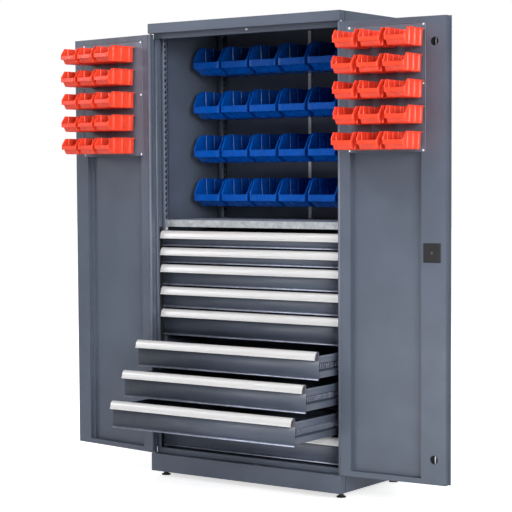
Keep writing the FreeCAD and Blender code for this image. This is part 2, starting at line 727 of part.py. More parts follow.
def bin_rails():
    """Four troughed rails between the rear uprights."""
    rails = []
    for row in range(BLUE_ROWS):
        lip = BLUE_TOP_ROW - row * BLUE_ROW_PITCH + BLUE_HEIGHT - HOOK_DROP - HOOK_THICK - HOOK_PLAY
        path = [(RAIL_FACE, lip), (RAIL_FACE, lip - RAIL_TROUGH), (STRIP_FACE, lip - RAIL_TROUGH),
                (STRIP_FACE, lip - RAIL_TROUGH + RAIL_BACK)]
        rails.append(sheet_x(path, RAIL_SHEET, 0, -UPRIGHT_X, UPRIGHT_X))
    return rails


def drawer_span(number):
    """Handle top and front bottom of a drawer, counted from one at the top."""
    top = FIRST_HANDLE_TOP - sum(FRONTS[:number - 1]) - DRAWER_GAP * (number - 1)
    return top, top - FRONTS[number - 1]


def recess_span(number):
    """Lower and upper face of the slide recess in a drawer side."""
    top, bottom = drawer_span(number)
    middle = (top - TRAY_DROP + bottom + TRAY_LIFT) / 2
    return middle - RECESS_HEIGHT / 2, middle + RECESS_HEIGHT / 2


def drawer_tray(number):
    """Folded tray: recessed sides with a hemmed rim, back plate and front with a turned-out lip."""
    top, bottom = drawer_span(number)
    low, high = recess_span(number)
    rim = top - TRAY_DROP
    inner = TRAY_HALF - RECESS_DEPTH
    hem = TRAY_HALF + HEM_STAND
    under = max(rim - HEM_HEIGHT, high + 2 * DRAWER_SHEET)
    right = [(TRAY_HALF, bottom + TRAY_LIFT), (TRAY_HALF, low), (inner, low), (inner, high),
             (TRAY_HALF, high), (TRAY_HALF, under), (hem, under), (hem, rim), (TRAY_HALF - TRAY_RIM, rim)]
    path = [(-x, z) for x, z in right[::-1]] + right
    start = FRONT_FACE + DRAWER_SHEET
    stop = start + TRAY_DEPTH
    back = prism_y(offset_path(path, DRAWER_SHEET), stop - DRAWER_SHEET, stop)
    lip = bottom + DRAWER_SHEET
    front = [(FRONT_FACE, top), (FRONT_FACE, lip), (FRONT_FACE - FRONT_LIP, lip)]
    panel = sheet_x(front, DRAWER_SHEET, 0, -FRONT_HALF, FRONT_HALF)
    return joined([sheet_y(path, DRAWER_SHEET, 0, start, stop), back, panel])


def drawer_handle(number):
    """Handle rail of one drawer with its two end caps."""
    top, bottom = drawer_span(number)
    nose = FRONT_FACE - HANDLE_REACH
    foot = top - HANDLE_HEIGHT
    path = [(FRONT_FACE, top - HANDLE_BACK), (FRONT_FACE, top), (FRONT_FACE - HANDLE_TOP_DEPTH, top),
            (nose, foot + HANDLE_NOSE), (nose, foot)]
    section, radii = folded(path, HANDLE_WALL, 0)
    radii[2] = HANDLE_ROUND
    radii[7] = HANDLE_ROUND - HANDLE_WALL
    half = HANDLE_HALF - HANDLE_CAP
    pieces = [prism_x(section, -half, half, radii)]
    shoulder = FRONT_FACE - HANDLE_TOP_DEPTH
    side = [(FRONT_FACE, foot), (FRONT_FACE, top), (shoulder + HANDLE_ROUND / 2, top),
            (shoulder - HANDLE_WALL, top - HANDLE_ROUND), (nose, foot + HANDLE_NOSE), (nose, foot)]
    for x in (-HANDLE_HALF, half):
        pieces.append(prism_x(side, x, x + HANDLE_CAP))
    return pieces


def drawer_rails():
    """C-section rails on the right uprights, one for every drawer."""
    rails = []
    for number in range(1, len(FRONTS) + 1):
        low, high = recess_span(number)
        path = [(UPRIGHT_X - SLIDE_REACH, low + SLIDE_PLAY), (UPRIGHT_X, low + SLIDE_PLAY),
                (UPRIGHT_X, high - SLIDE_PLAY), (UPRIGHT_X - SLIDE_REACH, high - SLIDE_PLAY)]
        rails.append(sheet_y(path, SLIDE_SHEET, 0, UPRIGHT_FRONT, DEPTH - SLIDE_END))
    return rails


def lock_case():
    """Open-ended case under the stile that guides both rack bars."""
    x = LOCK_S - DOOR_EDGE
    z0 = LOCK_Z - CASE_HEIGHT / 2
    z1 = LOCK_Z + CASE_HEIGHT / 2
    half = CASE_WIDTH / 2
    front = STILE_BACK - CASE_DEPTH
    outer = block(x - half, x + half, front, STILE_BACK, z0, z1)
    room = half - CASE_WALL
    inner = block(x - room, x + room, front + CASE_WALL, STILE_BACK - CASE_WALL, z0, z1)
    return outer.cut(inner).cut(door_bore(LOCK_S, LOCK_Z, SPINDLE_RADIUS + ROD_PLAY))


def lock_cover():
    """Square cover with bevelled edges over the lock, inside the door."""
    x = LOCK_S - DOOR_EDGE
    half = COVER_SIZE / 2
    cover = block(x - half, x + half, DOOR_THICK, DOOR_THICK + COVER_THICK, LOCK_Z - half, LOCK_Z + half)
    rim = [edge for edge in cover.Edges if edge.CenterOfMass.y > DOOR_THICK + COVER_THICK - 0.1]
    cover = cover.makeChamfer(COVER_THICK / 2, rim)
    return cover.cut(door_bore(LOCK_S, LOCK_Z, SPINDLE_RADIUS + ROD_PLAY))


def lock_plate():
    """Long plate with cut corners outside the door that carries the spindle."""
    x = LOCK_S - DOOR_EDGE
    half = PLATE_WIDTH / 2
    slim = half - PLATE_CORNER
    rise = PLATE_HEIGHT / 2
    side = rise - PLATE_CORNER
    corners = [(half, -side), (half, side), (slim, rise), (-slim, rise), (-half, side), (-half, -side),
               (-slim, -rise), (slim, -rise)]
    plate = prism_y([(x + across, LOCK_Z + up) for across, up in corners], -PLATE_THICK, 0)
    return plate.cut(door_bore(LOCK_S, LOCK_Z, SPINDLE_RADIUS + SPINDLE_PLAY))


def lock_handle():
    """Swivel handle outside the door, in one piece with its spindle."""
    x = LOCK_S - DOOR_EDGE
    tip = -PLATE_THICK - 2 * MESH_PLAY - BOSS_LENGTH
    centre = Vector(x, tip, LOCK_Z)
    spindle = round_bar(SPINDLE_RADIUS, centre, Vector(0, DOOR_THICK + COVER_THICK - CUT_SPARE - tip, 0))
    boss = round_bar(BOSS_RADIUS, centre, Vector(0, BOSS_LENGTH, 0), 2 * ROUND_SIDES)
    half = LEVER_WIDTH / 2
    end = x - LEVER_LENGTH
    slim = LEVER_TIP / 2
    inner = end + LEVER_CORNER
    blunt = slim - LEVER_CORNER
    section = [(x, LOCK_Z - half), (x, LOCK_Z + half), (inner, LOCK_Z + slim), (end, LOCK_Z + blunt),
               (end, LOCK_Z - blunt), (inner, LOCK_Z - slim)]
    return joined([spindle, boss, prism_y(section, tip, tip + LEVER_THICK)])


def lock_pinion():
    """Pinion on the spindle between the two rack bars."""
    disc = round_bar(PITCH_RADIUS - MESH_PLAY, Vector(LOCK_S - DOOR_EDGE, PIVOT_Y - RACK_THICK / 2, LOCK_Z),
                     Vector(0, RACK_THICK, 0), 2 * ROUND_SIDES)
    return disc.cut(door_bore(LOCK_S, LOCK_Z, SPINDLE_RADIUS))


def lock_rod(side, end):
    """Round rod with a rack bar beside the pinion; side is plus one for the upper rod."""
    x = LOCK_S - DOOR_EDGE
    near = PITCH_RADIUS + MESH_PLAY
    bar = sorted((x + side * near, x + side * (near + RACK_WIDTH)))
    tip = LOCK_Z - side * (near + ROD_RADIUS)
    head = tip + side * RACK_LENGTH
    foot = head - side * RACK_WIDTH
    y0 = PIVOT_Y - RACK_THICK / 2
    y1 = PIVOT_Y + RACK_THICK / 2
    rod_x = ROD_S - DOOR_EDGE
    rack = block(bar[0], bar[1], y0, y1, min(tip, head), max(tip, head))
    bridge = block(min(bar[0], rod_x - ROD_RADIUS), max(bar[1], rod_x + ROD_RADIUS), y0, y1,
                   min(foot, head), max(foot, head))
    rod = round_bar(ROD_RADIUS, Vector(rod_x, PIVOT_Y, min(foot, end)), Vector(0, 0, abs(end - foot)))
    return joined([rack, bridge, rod])


def rod_guides():
    """Two blocks under the stile that the rods run through."""
    x = ROD_S - DOOR_EDGE
    half = GUIDE_WIDTH / 2
    guides = []
    for z in (UPPER_SIGHT - GUIDE_SHIFT, LOWER_SIGHT + GUIDE_SHIFT):
        foot = z - GUIDE_HEIGHT / 2
        body = block(x - half, x + half, STILE_BACK - GUIDE_DEPTH, STILE_BACK, foot, foot + GUIDE_HEIGHT)
        guides.append(body.cut(rod_bore(ROD_RADIUS + ROD_PLAY, 0, HEIGHT)))
    return guides


def swung(shapes, side):
    """Door pieces turned about the pin to the pose of the photograph; side is minus one for the left door."""
    turned = []
    for shape in shapes:
        piece = mirrored(shape) if side > 0 else shape.copy()
        angle = RIGHT_OPEN_ANGLE if side > 0 else -LEFT_OPEN_ANGLE
        piece.rotate(Vector(side * PIVOT_X, PIVOT_Y, 0), Vector(0, 0, 1), angle)
        turned.append(piece)
    return turned


def write(name, shapes):
    """Save one node with the origin on the floor under the middle of the object."""
    solids = []
    for shape in shapes:
        solids += shape.translated(Vector(0, -ORIGIN_Y, 0)).Solids
    whole = solids[0] if len(solids) == 1 else Part.makeCompound(solids)
    whole.exportStep("parts/" + name + ".step")


def write_carcass():
    """Panels, beams, uprights, shelf, feet, pins and rails."""
    side = side_panel()
    write("right_side_panel", [side])
    write("left_side_panel", [mirrored(side)])
    write("back_panel", [back_panel()])
    write("roof_panel", [roof_panel()])
    write("floor_panel", [floor_panel()])
    write("cap_beam", [cap_beam()])
    write("plinth_beam", [plinth_beam()])
    for place, front, step in (("front", UPRIGHT_FRONT, 1), ("rear", REAR_UPRIGHT_FRONT, REAR_SKIP_COUNT)):
        post = upright(front, step)
        write(place + "_right_upright", [post])
        write(place + "_left_upright", [mirrored(post)])
    write("back_strip", [back_strip()])
    write("zinc_shelf", [zinc_shelf()])
    write("shelf_clips", shelf_clips())
    write("foot_pads", foot_pads())
    write("foot_studs", foot_studs())
    write("hinge_pins", hinge_pins())
    write("bin_rails", bin_rails())
    rails = drawer_rails()
    write("right_drawer_rails", rails)
    write("left_drawer_rails", [mirrored(rail) for rail in rails])
    for row in range(BLUE_ROWS):
        write("blue_bins_row_%d" % (row + 1), blue_row(row))


def write_doors():
    """Both doors with their stiles, louvre panels and bins."""
    write("left_door_skin", swung([door_skin(LEFT_STILE, 0, [])], -1))
    write("left_hinge_stile", swung([hinge_stile()], -1))
    write("left_closing_stile", swung([stepped_stile()], -1))
    places = red_places(RED_LEFT_START, LEFT_LOUVRE_END, RED_LEFT_PITCH, RED_LEFT_SHIFTS)
    write("left_louvre_panel", swung([louvre_panel(LEFT_LOUVRE_END, places)], -1))
    write("left_door_bins", swung(red_bins(places), -1))
    bores = [door_bore(LOCK_S, LOCK_Z, SPINDLE_RADIUS + ROD_PLAY), rod_bore(ROD_RADIUS + ROD_PLAY, 0, HEIGHT)]
    write("right_door_skin", swung([door_skin(RIGHT_STILE, CLOSING_FLANGE, bores)], 1))
    write("right_hinge_stile", swung([hinge_stile()], 1))
    write("right_closing_stile", swung([lock_stile()], 1))
    places = red_places(RED_RIGHT_START, RIGHT_LOUVRE_END, RED_RIGHT_PITCH, RED_RIGHT_SHIFTS)
    write("right_louvre_panel", swung([louvre_panel(RIGHT_LOUVRE_END, places)], 1))
    write("right_door_bins", swung(red_bins(places), 1))


def write_lock():
    """Everything of the lock in the right door."""
    write("lock_case", swung([lock_case()], 1))
    write("lock_cover", swung([lock_cover()], 1))
    write("lock_plate", swung([lock_plate()], 1))
    write("lock_handle", swung([lock_handle()], 1))
    write("lock_pinion", swung([lock_pinion()], 1))
    write("upper_rod", swung([lock_rod(1, DOOR_TOP)], 1))
    write("lower_rod", swung([lock_rod(-1, DOOR_BOTTOM)], 1))
    write("rod_guides", swung(rod_guides(), 1))


def write_drawers():
    """Nine drawers, three of them pulled out."""
    for number in range(1, len(FRONTS) + 1):
        pull = Vector(0, -PULLS.get(number, 0.0), 0)
        write("drawer_%d_tray" % number, [drawer_tray(number).translated(pull)])
        write("drawer_%d_handle" % number, [piece.translated(pull) for piece in drawer_handle(number)])


os.makedirs("parts", exist_ok=True)
write_carcass()
write_doors()
write_lock()
write_drawers()
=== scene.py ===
"""A two-door bin cabinet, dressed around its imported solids."""
import json
import math

import bmesh
import bpy
import numpy as np
from mathutils import Matrix, Vector


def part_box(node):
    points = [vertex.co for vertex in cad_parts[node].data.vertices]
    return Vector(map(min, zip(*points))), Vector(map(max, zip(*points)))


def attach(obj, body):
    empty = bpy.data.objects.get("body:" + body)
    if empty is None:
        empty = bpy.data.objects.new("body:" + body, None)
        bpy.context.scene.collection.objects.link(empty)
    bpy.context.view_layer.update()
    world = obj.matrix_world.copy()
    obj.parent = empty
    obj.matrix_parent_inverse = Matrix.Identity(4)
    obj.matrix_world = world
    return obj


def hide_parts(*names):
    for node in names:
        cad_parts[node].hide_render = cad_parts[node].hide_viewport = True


bl_info = {
    "name": "Bin cabinet",
    "version": (1, 0, 0),
    "blender": (4, 5, 0),
    "location": "View3D > Sidebar > Cabinet",
    "description": "Bins, drawers, fittings and finishes of a steel bin cabinet",
    "category": "Object",
}

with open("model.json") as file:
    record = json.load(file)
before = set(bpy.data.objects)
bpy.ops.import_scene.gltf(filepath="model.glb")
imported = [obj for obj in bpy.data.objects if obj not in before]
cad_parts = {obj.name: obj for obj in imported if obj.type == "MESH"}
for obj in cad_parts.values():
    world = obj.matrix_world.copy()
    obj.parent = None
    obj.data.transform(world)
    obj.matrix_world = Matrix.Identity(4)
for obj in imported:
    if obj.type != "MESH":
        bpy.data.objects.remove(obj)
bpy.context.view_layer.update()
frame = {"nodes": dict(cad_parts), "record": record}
NODES = frame["nodes"]
JOINTS = {joint["name"]: joint for joint in frame["record"]["behaviour"]["joints"]}
MM = 0.001
# Points closer than this, in metres, become one.
WELD = 0.00002
# Degrees that each door is open at the upper end of its hinge's range.
FULLY_OPEN = 190.0
DRAWERS = range(1, 10)
BLUE_ROWS = range(1, 5)

# Sizes in millimetres that the solids share.
HINGE_INSET = 4.0
DOOR_MIDDLE = 14.0
PANEL_FACE = 29.0
PANEL_START = 42.0
PANEL_LOW = 1423.0
PANEL_HIGH = 1931.0
RED_BACK = 34.5
RED_ROW_TOP = 1905.0
RED_ROW_PITCH = 100.4
RED_BIN = dict(length=162.0, width=98.0, height=70.0, lip_top=37.0, lip_bottom=20.0, rim_end=142.0, toe=22.0,
               taper=4.0, wall=2.0, ribs=(30.0, 77.0, 124.0))
BLUE_BIN = dict(length=255.0, width=150.0, height=125.0, lip_top=54.0, lip_bottom=25.0, rim_end=211.0, toe=57.0,
                taper=7.0, wall=2.5, ribs=(42.0, 103.0, 165.0))
BLUE_PITCH = 155.0
BLUE_COLUMNS = (np.arange(6) - 2.5) * BLUE_PITCH
RIM = 3.0
RIM_DEEP = 4.5
LIP_STEP = 11.0
REAR_STEP = 6.0
TRAY_SIDE = 461.5
TRAY_RECESS = 11.0
TRAY_SHEET = 1.0
TRAY_FACE = 7.5
TRAY_RIM = 19.5
TRAY_FLOOR = 6.5
RAIL_DEEP = 25.0
RAIL_HIGH = 34.0
HOLE_PITCH = 25.0
HOLE_LINE = 13.0
SHEET = 1.2
SIDE_FLANGE = 22.0
FOOT_PLACES = [(x, y, 0.0) for x in (-465.0, 465.0) for y in (-52.5, 367.5)]
# The key disc in the frame of the right door.
LOCK_PLACE = (426.0, 0.0, 1026.0)

# Sizes in millimetres of the finer detail, most of it in the scene alone.
CORNER = 5.0
RIB_HALF = 4.6
LIP_RUN = 8.0
REAR_RUN = 20.0
HOOK_OUT = 4.0
HOOK_DOWN = 12.0
HOOK_SHEET = 2.0
HOOK_HIGH = 7.0
LABEL_BEAD = 0.8
LABEL_SUNK = 0.2
CAP_OVER = 2.3
CAP_BACK = 1.6
TRAY_HEM = 8.5
STRIP_HALF = 14.5
STRIP_SHEET = 0.8
LARGE_HOLE = (11.0, 10.0)
SMALL_HOLE = (6.0, 5.0)
# Near-black sheets behind the upright holes, which paint the shade seen through them: gap behind the web, thickness,
# half width.
PAINTED_SHADE_SHEET_GAP = 3.0
PAINTED_SHADE_SHEET = 1.5
PAINTED_SHADE_SHEET_HALF = 9.0
# Near-black strip that paints the shade in the gap beside the drawers: thickness, and its front and rear edges
# behind the panel's front.
PAINTED_SHADE_STRIP = 1.5
PAINTED_SHADE_STRIP_FRONT = 1.5
PAINTED_SHADE_STRIP_BACK = 18.5
FOLD_LINE = 30.5
FOLD_WIDE = 14.0
FOLD_DEEP = 12.0
HEM_PROUD = 1.0
HEM_WIDE = 10.0
HEM_SHEET = 0.8
SCREW_HEIGHTS = (1922.5, 1692.0, 1430.5)
SCREW_RISE = 2.4
RIVET_RADIUS = 6.0
RIVET_RISE = 1.1
RIVET_DROP = 20.0
BUFFER_PLACE = (9.0, 38.0, 16.0)
# Slack in comparisons of lengths.
NEAR = 0.1

# Sides of the round turned pieces, and profiles of turned pieces as (radius, height) pairs.
ROUND = 20
KEY_DISC = ((0.4, 33.4), (2.0, 33.4), (2.0, 32.9), (5.0, 32.9), (6.0, 32.4), (6.0, 30.0))
FOOT_NUT = ((8.3, 13.4), (9.6, 14.0), (9.6, 17.0), (8.3, 17.4))
BUFFER = ((0.5, -4.0), (4.0, -3.4), (5.0, -1.5), (5.0, 0.4))
# Rolled edge of a louvre panel as (inset, height) pairs.
PANEL_ARCH = ((0.0, -0.5), (0.0, 1.2), (0.8, 2.0), (2.2, 2.0), (3.0, 1.2), (3.0, -0.5))
# Loops of an end cap as (inset, depth) pairs, from its outer face inwards.
CAP_LOOPS = ((2.2, 0.9), (1.2, 0.0), (0.5, 0.0), (0.0, 0.7), (0.0, 4.0))
# Rings of the collar round a slot as (distance from the slot, height) pairs.
COLLAR = ((2.2, 0.0), (1.0, 0.9), (0.0, 0.3))

# Finishes of the solids by material slot, and of the few that differ from their slot.
# The drawers take a darker coat than the carcass, which paints the shade on them.
SLOT_FINISH = {"carcass_coat": "coat", "door_coat": "coat", "drawer_coat": "drawer", "zinc_plate": "zinc",
               "bright_steel": "steel", "handle_aluminium": "aluminium", "blue_plastic": "blue",
               "red_plastic": "red", "black_plastic": "black"}
NODE_FINISH = {"shelf_clips": "white", "back_strip": "aluminium", "left_louvre_panel": "panel",
               # The louvre panels take a paler coat that paints the sheen on them.
               "right_louvre_panel": "panel"}

# Lamps: name, place, aim and size in metres, power in watts, tint.
LAMPS = (
    ("key_lamp", (9.3, -5.8, 3.7), (0, 0, 1.0), (4.6, 4.0), 810, "#FFFFFF"),
    ("side_lamp", (6.5, 0.0, 2.4), (0, 0, 1.0), (2.0, 2.4), 110, "#FFFFFF"),
    ("top_lamp", (0.3, -2.4, 4.2), (0, 0, 1.4), (3.0, 1.4), 100, "#FFFFFF"),
    ("low_lamp", (0.6, -2.6, 0.15), (0, 0, 0.15), (2.6, 0.2), 18, "#FFFFFF"),
    ("left_lamp", (-5.3, -3.6, 3.0), (0, 0, 1.2), (2.0, 1.8), 66, "#FBFAFF"),
    ("back_lamp", (-2.6, 6.0, 3.4), (0, 0, 1.0), (3.0, 3.0), 190, "#FFFFFF"),
)
# Half width of the floor in metres.
FLOOR_HALF = 30

# Camera fitted to the photograph: yaw, pitch and roll in degrees, place in metres, focal length, centre and picture
# width in pixels, sensor width in millimetres.
CAMERA_TURN = (35.61, 3.63, -0.30)
CAMERA_PLACE = (4.133, -5.7475, 1.336)
CAMERA_FOCUS = 1647.0
CAMERA_CENTRE = (259.6, 279.5)
PICTURE = 512
SENSOR = 36.0


def linear(hex_colour):
    """Linear colour with alpha from an sRGB hex value."""
    channels = [int(hex_colour[i:i + 2], 16) / 255 for i in (1, 3, 5)]
    toned = [c / 12.92 if c <= 0.04045 else ((c + 0.055) / 1.055) ** 2.4 for c in channels]
    return (*toned, 1.0)


def colour(name, text, hex_colour):
    """Colour property with its default given as a hex value."""
    return bpy.props.FloatVectorProperty(name=name, description=text, subtype="COLOR", size=4, min=0, max=1,
                                         default=linear(hex_colour))


def measure(name, text, millimetres):
    """Length property in metres with its default given in millimetres."""
    return bpy.props.FloatProperty(name=name, description=text, subtype="DISTANCE", unit="LENGTH",
                                   default=millimetres * MM, precision=4)


class CabinetSizes(bpy.types.PropertyGroup):
    """Sizes of the fine detail that a user may change."""

    slot_pitch: measure("Slot pitch", "Distance between divider slots in a drawer side", 14.2)
    slot_width: measure("Slot width", "Width of one divider slot", 5.6)
    slot_height: measure("Slot height", "Height of one divider slot", 21.0)
    rib_height: measure("Rib height", "How far the flutes of a bin stand out", 2.7)
    screw_radius: measure("Screw radius", "Radius of the panel screw heads", 4.6)


class CabinetColours(bpy.types.PropertyGroup):
    """Colours of the finishes."""

    coat: colour("Coat", "Powder coat of carcass and doors", "#4F5765")
    red: colour("Red bins", "Moulded plastic of the door bins", "#EA4429")
    blue: colour("Blue bins", "Moulded plastic of the cabinet bins", "#024AA2")
    aluminium: colour("Handles", "Anodised handle rails and centre strip", "#E2E2E2")
    zinc: colour("Galvanised sheet", "Shelf and rails", "#CED3D7")
    steel: colour("Plated steel", "Pins, rods, studs, nuts and rivets", "#C9CCD0")
    black: colour("Black plastic", "Feet, lock cover and lock handle", "#0F0F13")
    cap: colour("End caps", "Caps of the handle rails and key disc of the lock", "#47434F")
    white: colour("White nylon", "Shelf clips, screw caps and the buffer under the cap", "#ECECEA")
    # Darker than the carcass coat: painted shade on the drawer fronts and trays.
    drawer: colour("Drawers", "Powder coat of the drawers, a shade darker", "#474E5B")
    # Paler than the coat: it paints the sheen on the louvre panels and the highlight on the hinge hems and panel
    # edges.
    panel: colour("Louvre panels", "Powder coat of the louvre panels and the hinge hems", "#5F6573")
    # Paler than the coat, so that the ledges paint the highlight along the lower edge of each drawer front.
    trim: colour("Trim", "Passivated ledges under the drawer fronts", "#A0A6B8")
    strip: colour("Slotted strips", "Passivated strips in the drawer sides", "#7E8495")
    # Near-black sheets that paint the shade behind the upright holes and in the gaps beside the drawers.
    liner: colour("Liner", "Rubber strips behind the upright holes and beside the drawers", "#050506")


def put(tree, kind, values=None, links=None, **attributes):
    """Add a node, set its attributes and input values, and link its inputs."""
    node = tree.nodes.new(kind)
    for name, value in attributes.items():
        setattr(node, name, value)
    for name, value in (values or {}).items():
        node.inputs[name].default_value = value
    for name, source in (links or {}).items():
        tree.links.new(source, node.inputs[name])
    return node


def start_material(name):
    """Empty node material, its node tree and the Object coordinates, which are in metres."""
    material = bpy.data.materials.new(name)
    material.use_nodes = True
    tree = material.node_tree
    tree.nodes.clear()
    place = put(tree, "ShaderNodeTexCoord").outputs["Object"]
    return material, tree, place


def close_material(tree, shader):
    """Link the finished shader to the surface."""
    put(tree, "ShaderNodeOutputMaterial", links={"Surface": shader.outputs[0]})


def close_surface(tree, tone, gloss, relief, values, strength, distance):
    """Close a material with a Principled shader of this colour, roughness and fine relief."""
    bump = put(tree, "ShaderNodeBump", {"Strength": strength, "Distance": distance}, {"Height": relief})
    shader = put(tree, "ShaderNodeBsdfPrincipled", values,
                 {"Base Color": tone, "Roughness": gloss, "Normal": bump.outputs[0]})
    close_material(tree, shader)


def per_metre(millimetres):
    """Texture scale whose cells are about this many millimetres wide."""
    return 1.0 / (millimetres * MM)


def noise(tree, place, cell, detail, roughness=0.5):
    """Soft noise with cells of this many millimetres."""
    values = {"Scale": per_metre(cell), "Detail": detail, "Roughness": roughness}
    return put(tree, "ShaderNodeTexNoise", values, {"Vector": place}).outputs[0]


def ranged(tree, value, start, stop, low=0.0, high=1.0):
    """Value carried from the range low to high over to the range start to stop."""
    values = {"From Min": low, "From Max": high, "To Min": start, "To Max": stop}
    return put(tree, "ShaderNodeMapRange", values, {"Value": value}).outputs[0]


def mixed(tree, factor, first, second):
    """Two colours mixed by a factor; the node's colour sockets are 6 and 7, and its colour result is 2."""
    return put(tree, "ShaderNodeMix", {6: first, 7: second}, {0: factor}, data_type="RGBA").outputs[2]


def shaded(base, factor):
    """The same colour, lighter or darker by a factor."""
    return (*[min(1.0, channel * factor) for channel in base[:3]], 1.0)


def clouded(tree, place, base, dark, light, cell):
    """A darker and a lighter tone of one colour, mixed by soft noise."""
    factor = ranged(tree, noise(tree, place, cell, detail=4.0), 0.0, 1.0, low=0.35, high=0.65)
    return mixed(tree, factor, shaded(base, dark), shaded(base, light))


def powder_coat(name, base):
    """Polyester powder coat on sheet steel: satin, with orange peel and faint cloudiness, so lights smear softly."""
    material, tree, place = start_material(name)
    tone = clouded(tree, place, base, dark=0.94, light=1.07, cell=170)
    # Orange peel of about 1.5 mm, drawn at 4 mm so that it shows.
    peel = noise(tree, place, cell=4, detail=2.0)
    rub = noise(tree, place, cell=60, detail=6.0, roughness=0.7)
    gloss = ranged(tree, rub, 0.34, 0.48, low=0.3, high=0.7)
    close_surface(tree, tone, gloss, peel, {"IOR": 1.5}, strength=0.05, distance=0.0004)
    return material


def galvanised(name, base):
    """Hot-dip galvanised sheet: grey spangles of about 14 mm that differ in tone and gloss."""
    material, tree, place = start_material(name)
    cells = put(tree, "ShaderNodeTexVoronoi", {"Scale": per_metre(14), "Randomness": 1.0}, {"Vector": place})
    grey = put(tree, "ShaderNodeSeparateColor", links={"Color": cells.outputs["Color"]})
    tone = mixed(tree, grey.outputs[0], shaded(base, 0.82), shaded(base, 1.08))
    gloss = ranged(tree, grey.outputs[1], 0.36, 0.52)
    frost = noise(tree, place, cell=3, detail=3.0)
    close_surface(tree, tone, gloss, frost, {"Metallic": 0.85}, strength=0.05, distance=0.0003)
    return material


def anodised(name, base):
    """Extruded aluminium, satin anodised: pale metal with fine die lines along its length."""
    material, tree, place = start_material(name)
    stretch = put(tree, "ShaderNodeMapping", {"Scale": (0.01, 1.0, 1.0)}, {"Vector": place})
    # Die lines of about 0.3 mm, drawn at 1.2 mm so that they show.
    lines = noise(tree, stretch.outputs[0], cell=1.2, detail=3.0)
    tone = mixed(tree, lines, shaded(base, 0.9), shaded(base, 1.06))
    gloss = ranged(tree, lines, 0.28, 0.5)
    close_surface(tree, tone, gloss, lines, {"Metallic": 0.52}, strength=0.08, distance=0.0002)
    return material


def polypropylene(name, base, rough, shine):
    """Moulded polypropylene: saturated, slightly waxy, with a fine mould grain and faint flow clouds."""
    material, tree, place = start_material(name)
    tone = clouded(tree, place, base, dark=0.92, light=1.06, cell=55)
    # Mould grain of about 0.5 mm, drawn at 1.5 mm so that it shows.
    grain = noise(tree, place, cell=1.5, detail=2.0)
    wipe = noise(tree, place, cell=35, detail=5.0)
    gloss = ranged(tree, wipe, rough - 0.06, rough + 0.08, low=0.3, high=0.7)
    close_surface(tree, tone, gloss, grain, {"IOR": 1.49, "Specular IOR Level": shine}, strength=0.06,
                  distance=0.0002)
    return material


def moulded_plastic(name, base, rough):
    """Moulded nylon, ABS or rubber: dull, with a leathery spark-eroded grain."""
    material, tree, place = start_material(name)
    tone = clouded(tree, place, base, dark=0.8, light=1.3, cell=20)
    grain = put(tree, "ShaderNodeTexVoronoi", {"Scale": per_metre(2)}, {"Vector": place}).outputs[0]
    gloss = ranged(tree, grain, rough, rough + 0.15)
    close_surface(tree, tone, gloss, grain, {"IOR": 1.5}, strength=0.12, distance=0.0003)
    return material


def plated_steel(name, base):
    """Zinc-plated steel: bright, faintly blue, with turning marks and a patchy passivated gloss."""
    material, tree, place = start_material(name)
    tone = clouded(tree, place, base, dark=0.85, light=1.05, cell=9)
    marks = noise(tree, place, cell=1, detail=3.0)
    gloss = ranged(tree, marks, 0.22, 0.4)
    close_surface(tree, tone, gloss, marks, {"Metallic": 1.0}, strength=0.06, distance=0.0002)
    return material


FINISHES = {}


def make_finishes(colours):
    """Every material of the cabinet, by the word that the pieces use for it."""
    FINISHES.update(
        coat=powder_coat("powder_coated_steel", tuple(colours.coat)),
        # Darker drawer coat: painted shade.
        drawer=powder_coat("powder_coat_with_painted_shade", tuple(colours.drawer)),
        # Paler coat: painted sheen on the panels, painted highlight on the hems and panel edges.
        panel=powder_coat("powder_coat_with_painted_sheen", tuple(colours.panel)),
        zinc=galvanised("galvanised_sheet", tuple(colours.zinc)),
        aluminium=anodised("anodised_aluminium", tuple(colours.aluminium)),
        red=polypropylene("moulded_polypropylene_red", tuple(colours.red), rough=0.32, shine=0.55),
        blue=polypropylene("moulded_polypropylene_blue", tuple(colours.blue), rough=0.24, shine=0.32),
        black=moulded_plastic("moulded_nylon_black", tuple(colours.black), rough=0.45),
        cap=moulded_plastic("moulded_abs_grey", tuple(colours.cap), rough=0.4),
        white=moulded_plastic("moulded_nylon_white", tuple(colours.white), rough=0.35),
        steel=plated_steel("zinc_plated_steel", tuple(colours.steel)),
        # Pale ledges under the drawer fronts: their colour paints the edge highlight.
        trim=galvanised("passivated_zinc_trim", tuple(colours.trim)),
        strip=galvanised("passivated_zinc_strip", tuple(colours.strip)),
        # Near-black sheets behind the upright holes and beside the drawers: painted shade.
        liner=moulded_plastic("black_painted_shade", tuple(colours.liner), rough=0.8),
    )


def grid_faces(rows, columns, wrap=True):
    """Quads between the rows of a grid, closed across its columns where it wraps."""
    last = columns if wrap else columns - 1
    i, j = np.meshgrid(np.arange(rows - 1), np.arange(last), indexing="ij")
    k = (j + 1) % columns
    corners = [i * columns + j, i * columns + k, (i + 1) * columns + k, (i + 1) * columns + j]
    return np.stack(corners, -1).reshape(-1, 4)


def tube_faces(rows, columns):
    """Faces of a row of loops, with one flat face at each end."""
    last = (rows - 1) * columns
    ends = [list(range(columns))[::-1], list(range(last, last + columns))]
    return grid_faces(rows, columns).tolist() + ends


def cell_faces(rows, columns, count):
    """Faces of a count of equal cells, each of them rings inside one another."""
    first = np.arange(count)[:, None, None] * rows * columns
    return (grid_faces(rows, columns)[None] + first).reshape(-1, 4)


def gathered(shapes):
    """Several shapes, whose faces have any number of corners, as one list of points and one of faces."""
    points, faces, count = [], [], 0
    for shape_points, shape_faces in shapes:
        points.append(shape_points)
        faces += [[int(index) + count for index in face] for face in shape_faces]
        count += len(shape_points)
    return np.concatenate(points), faces


def copies(shape, places):
    """The same shape at several places, as one shape."""
    points, faces = shape
    return gathered([(points + place, faces) for place in places])


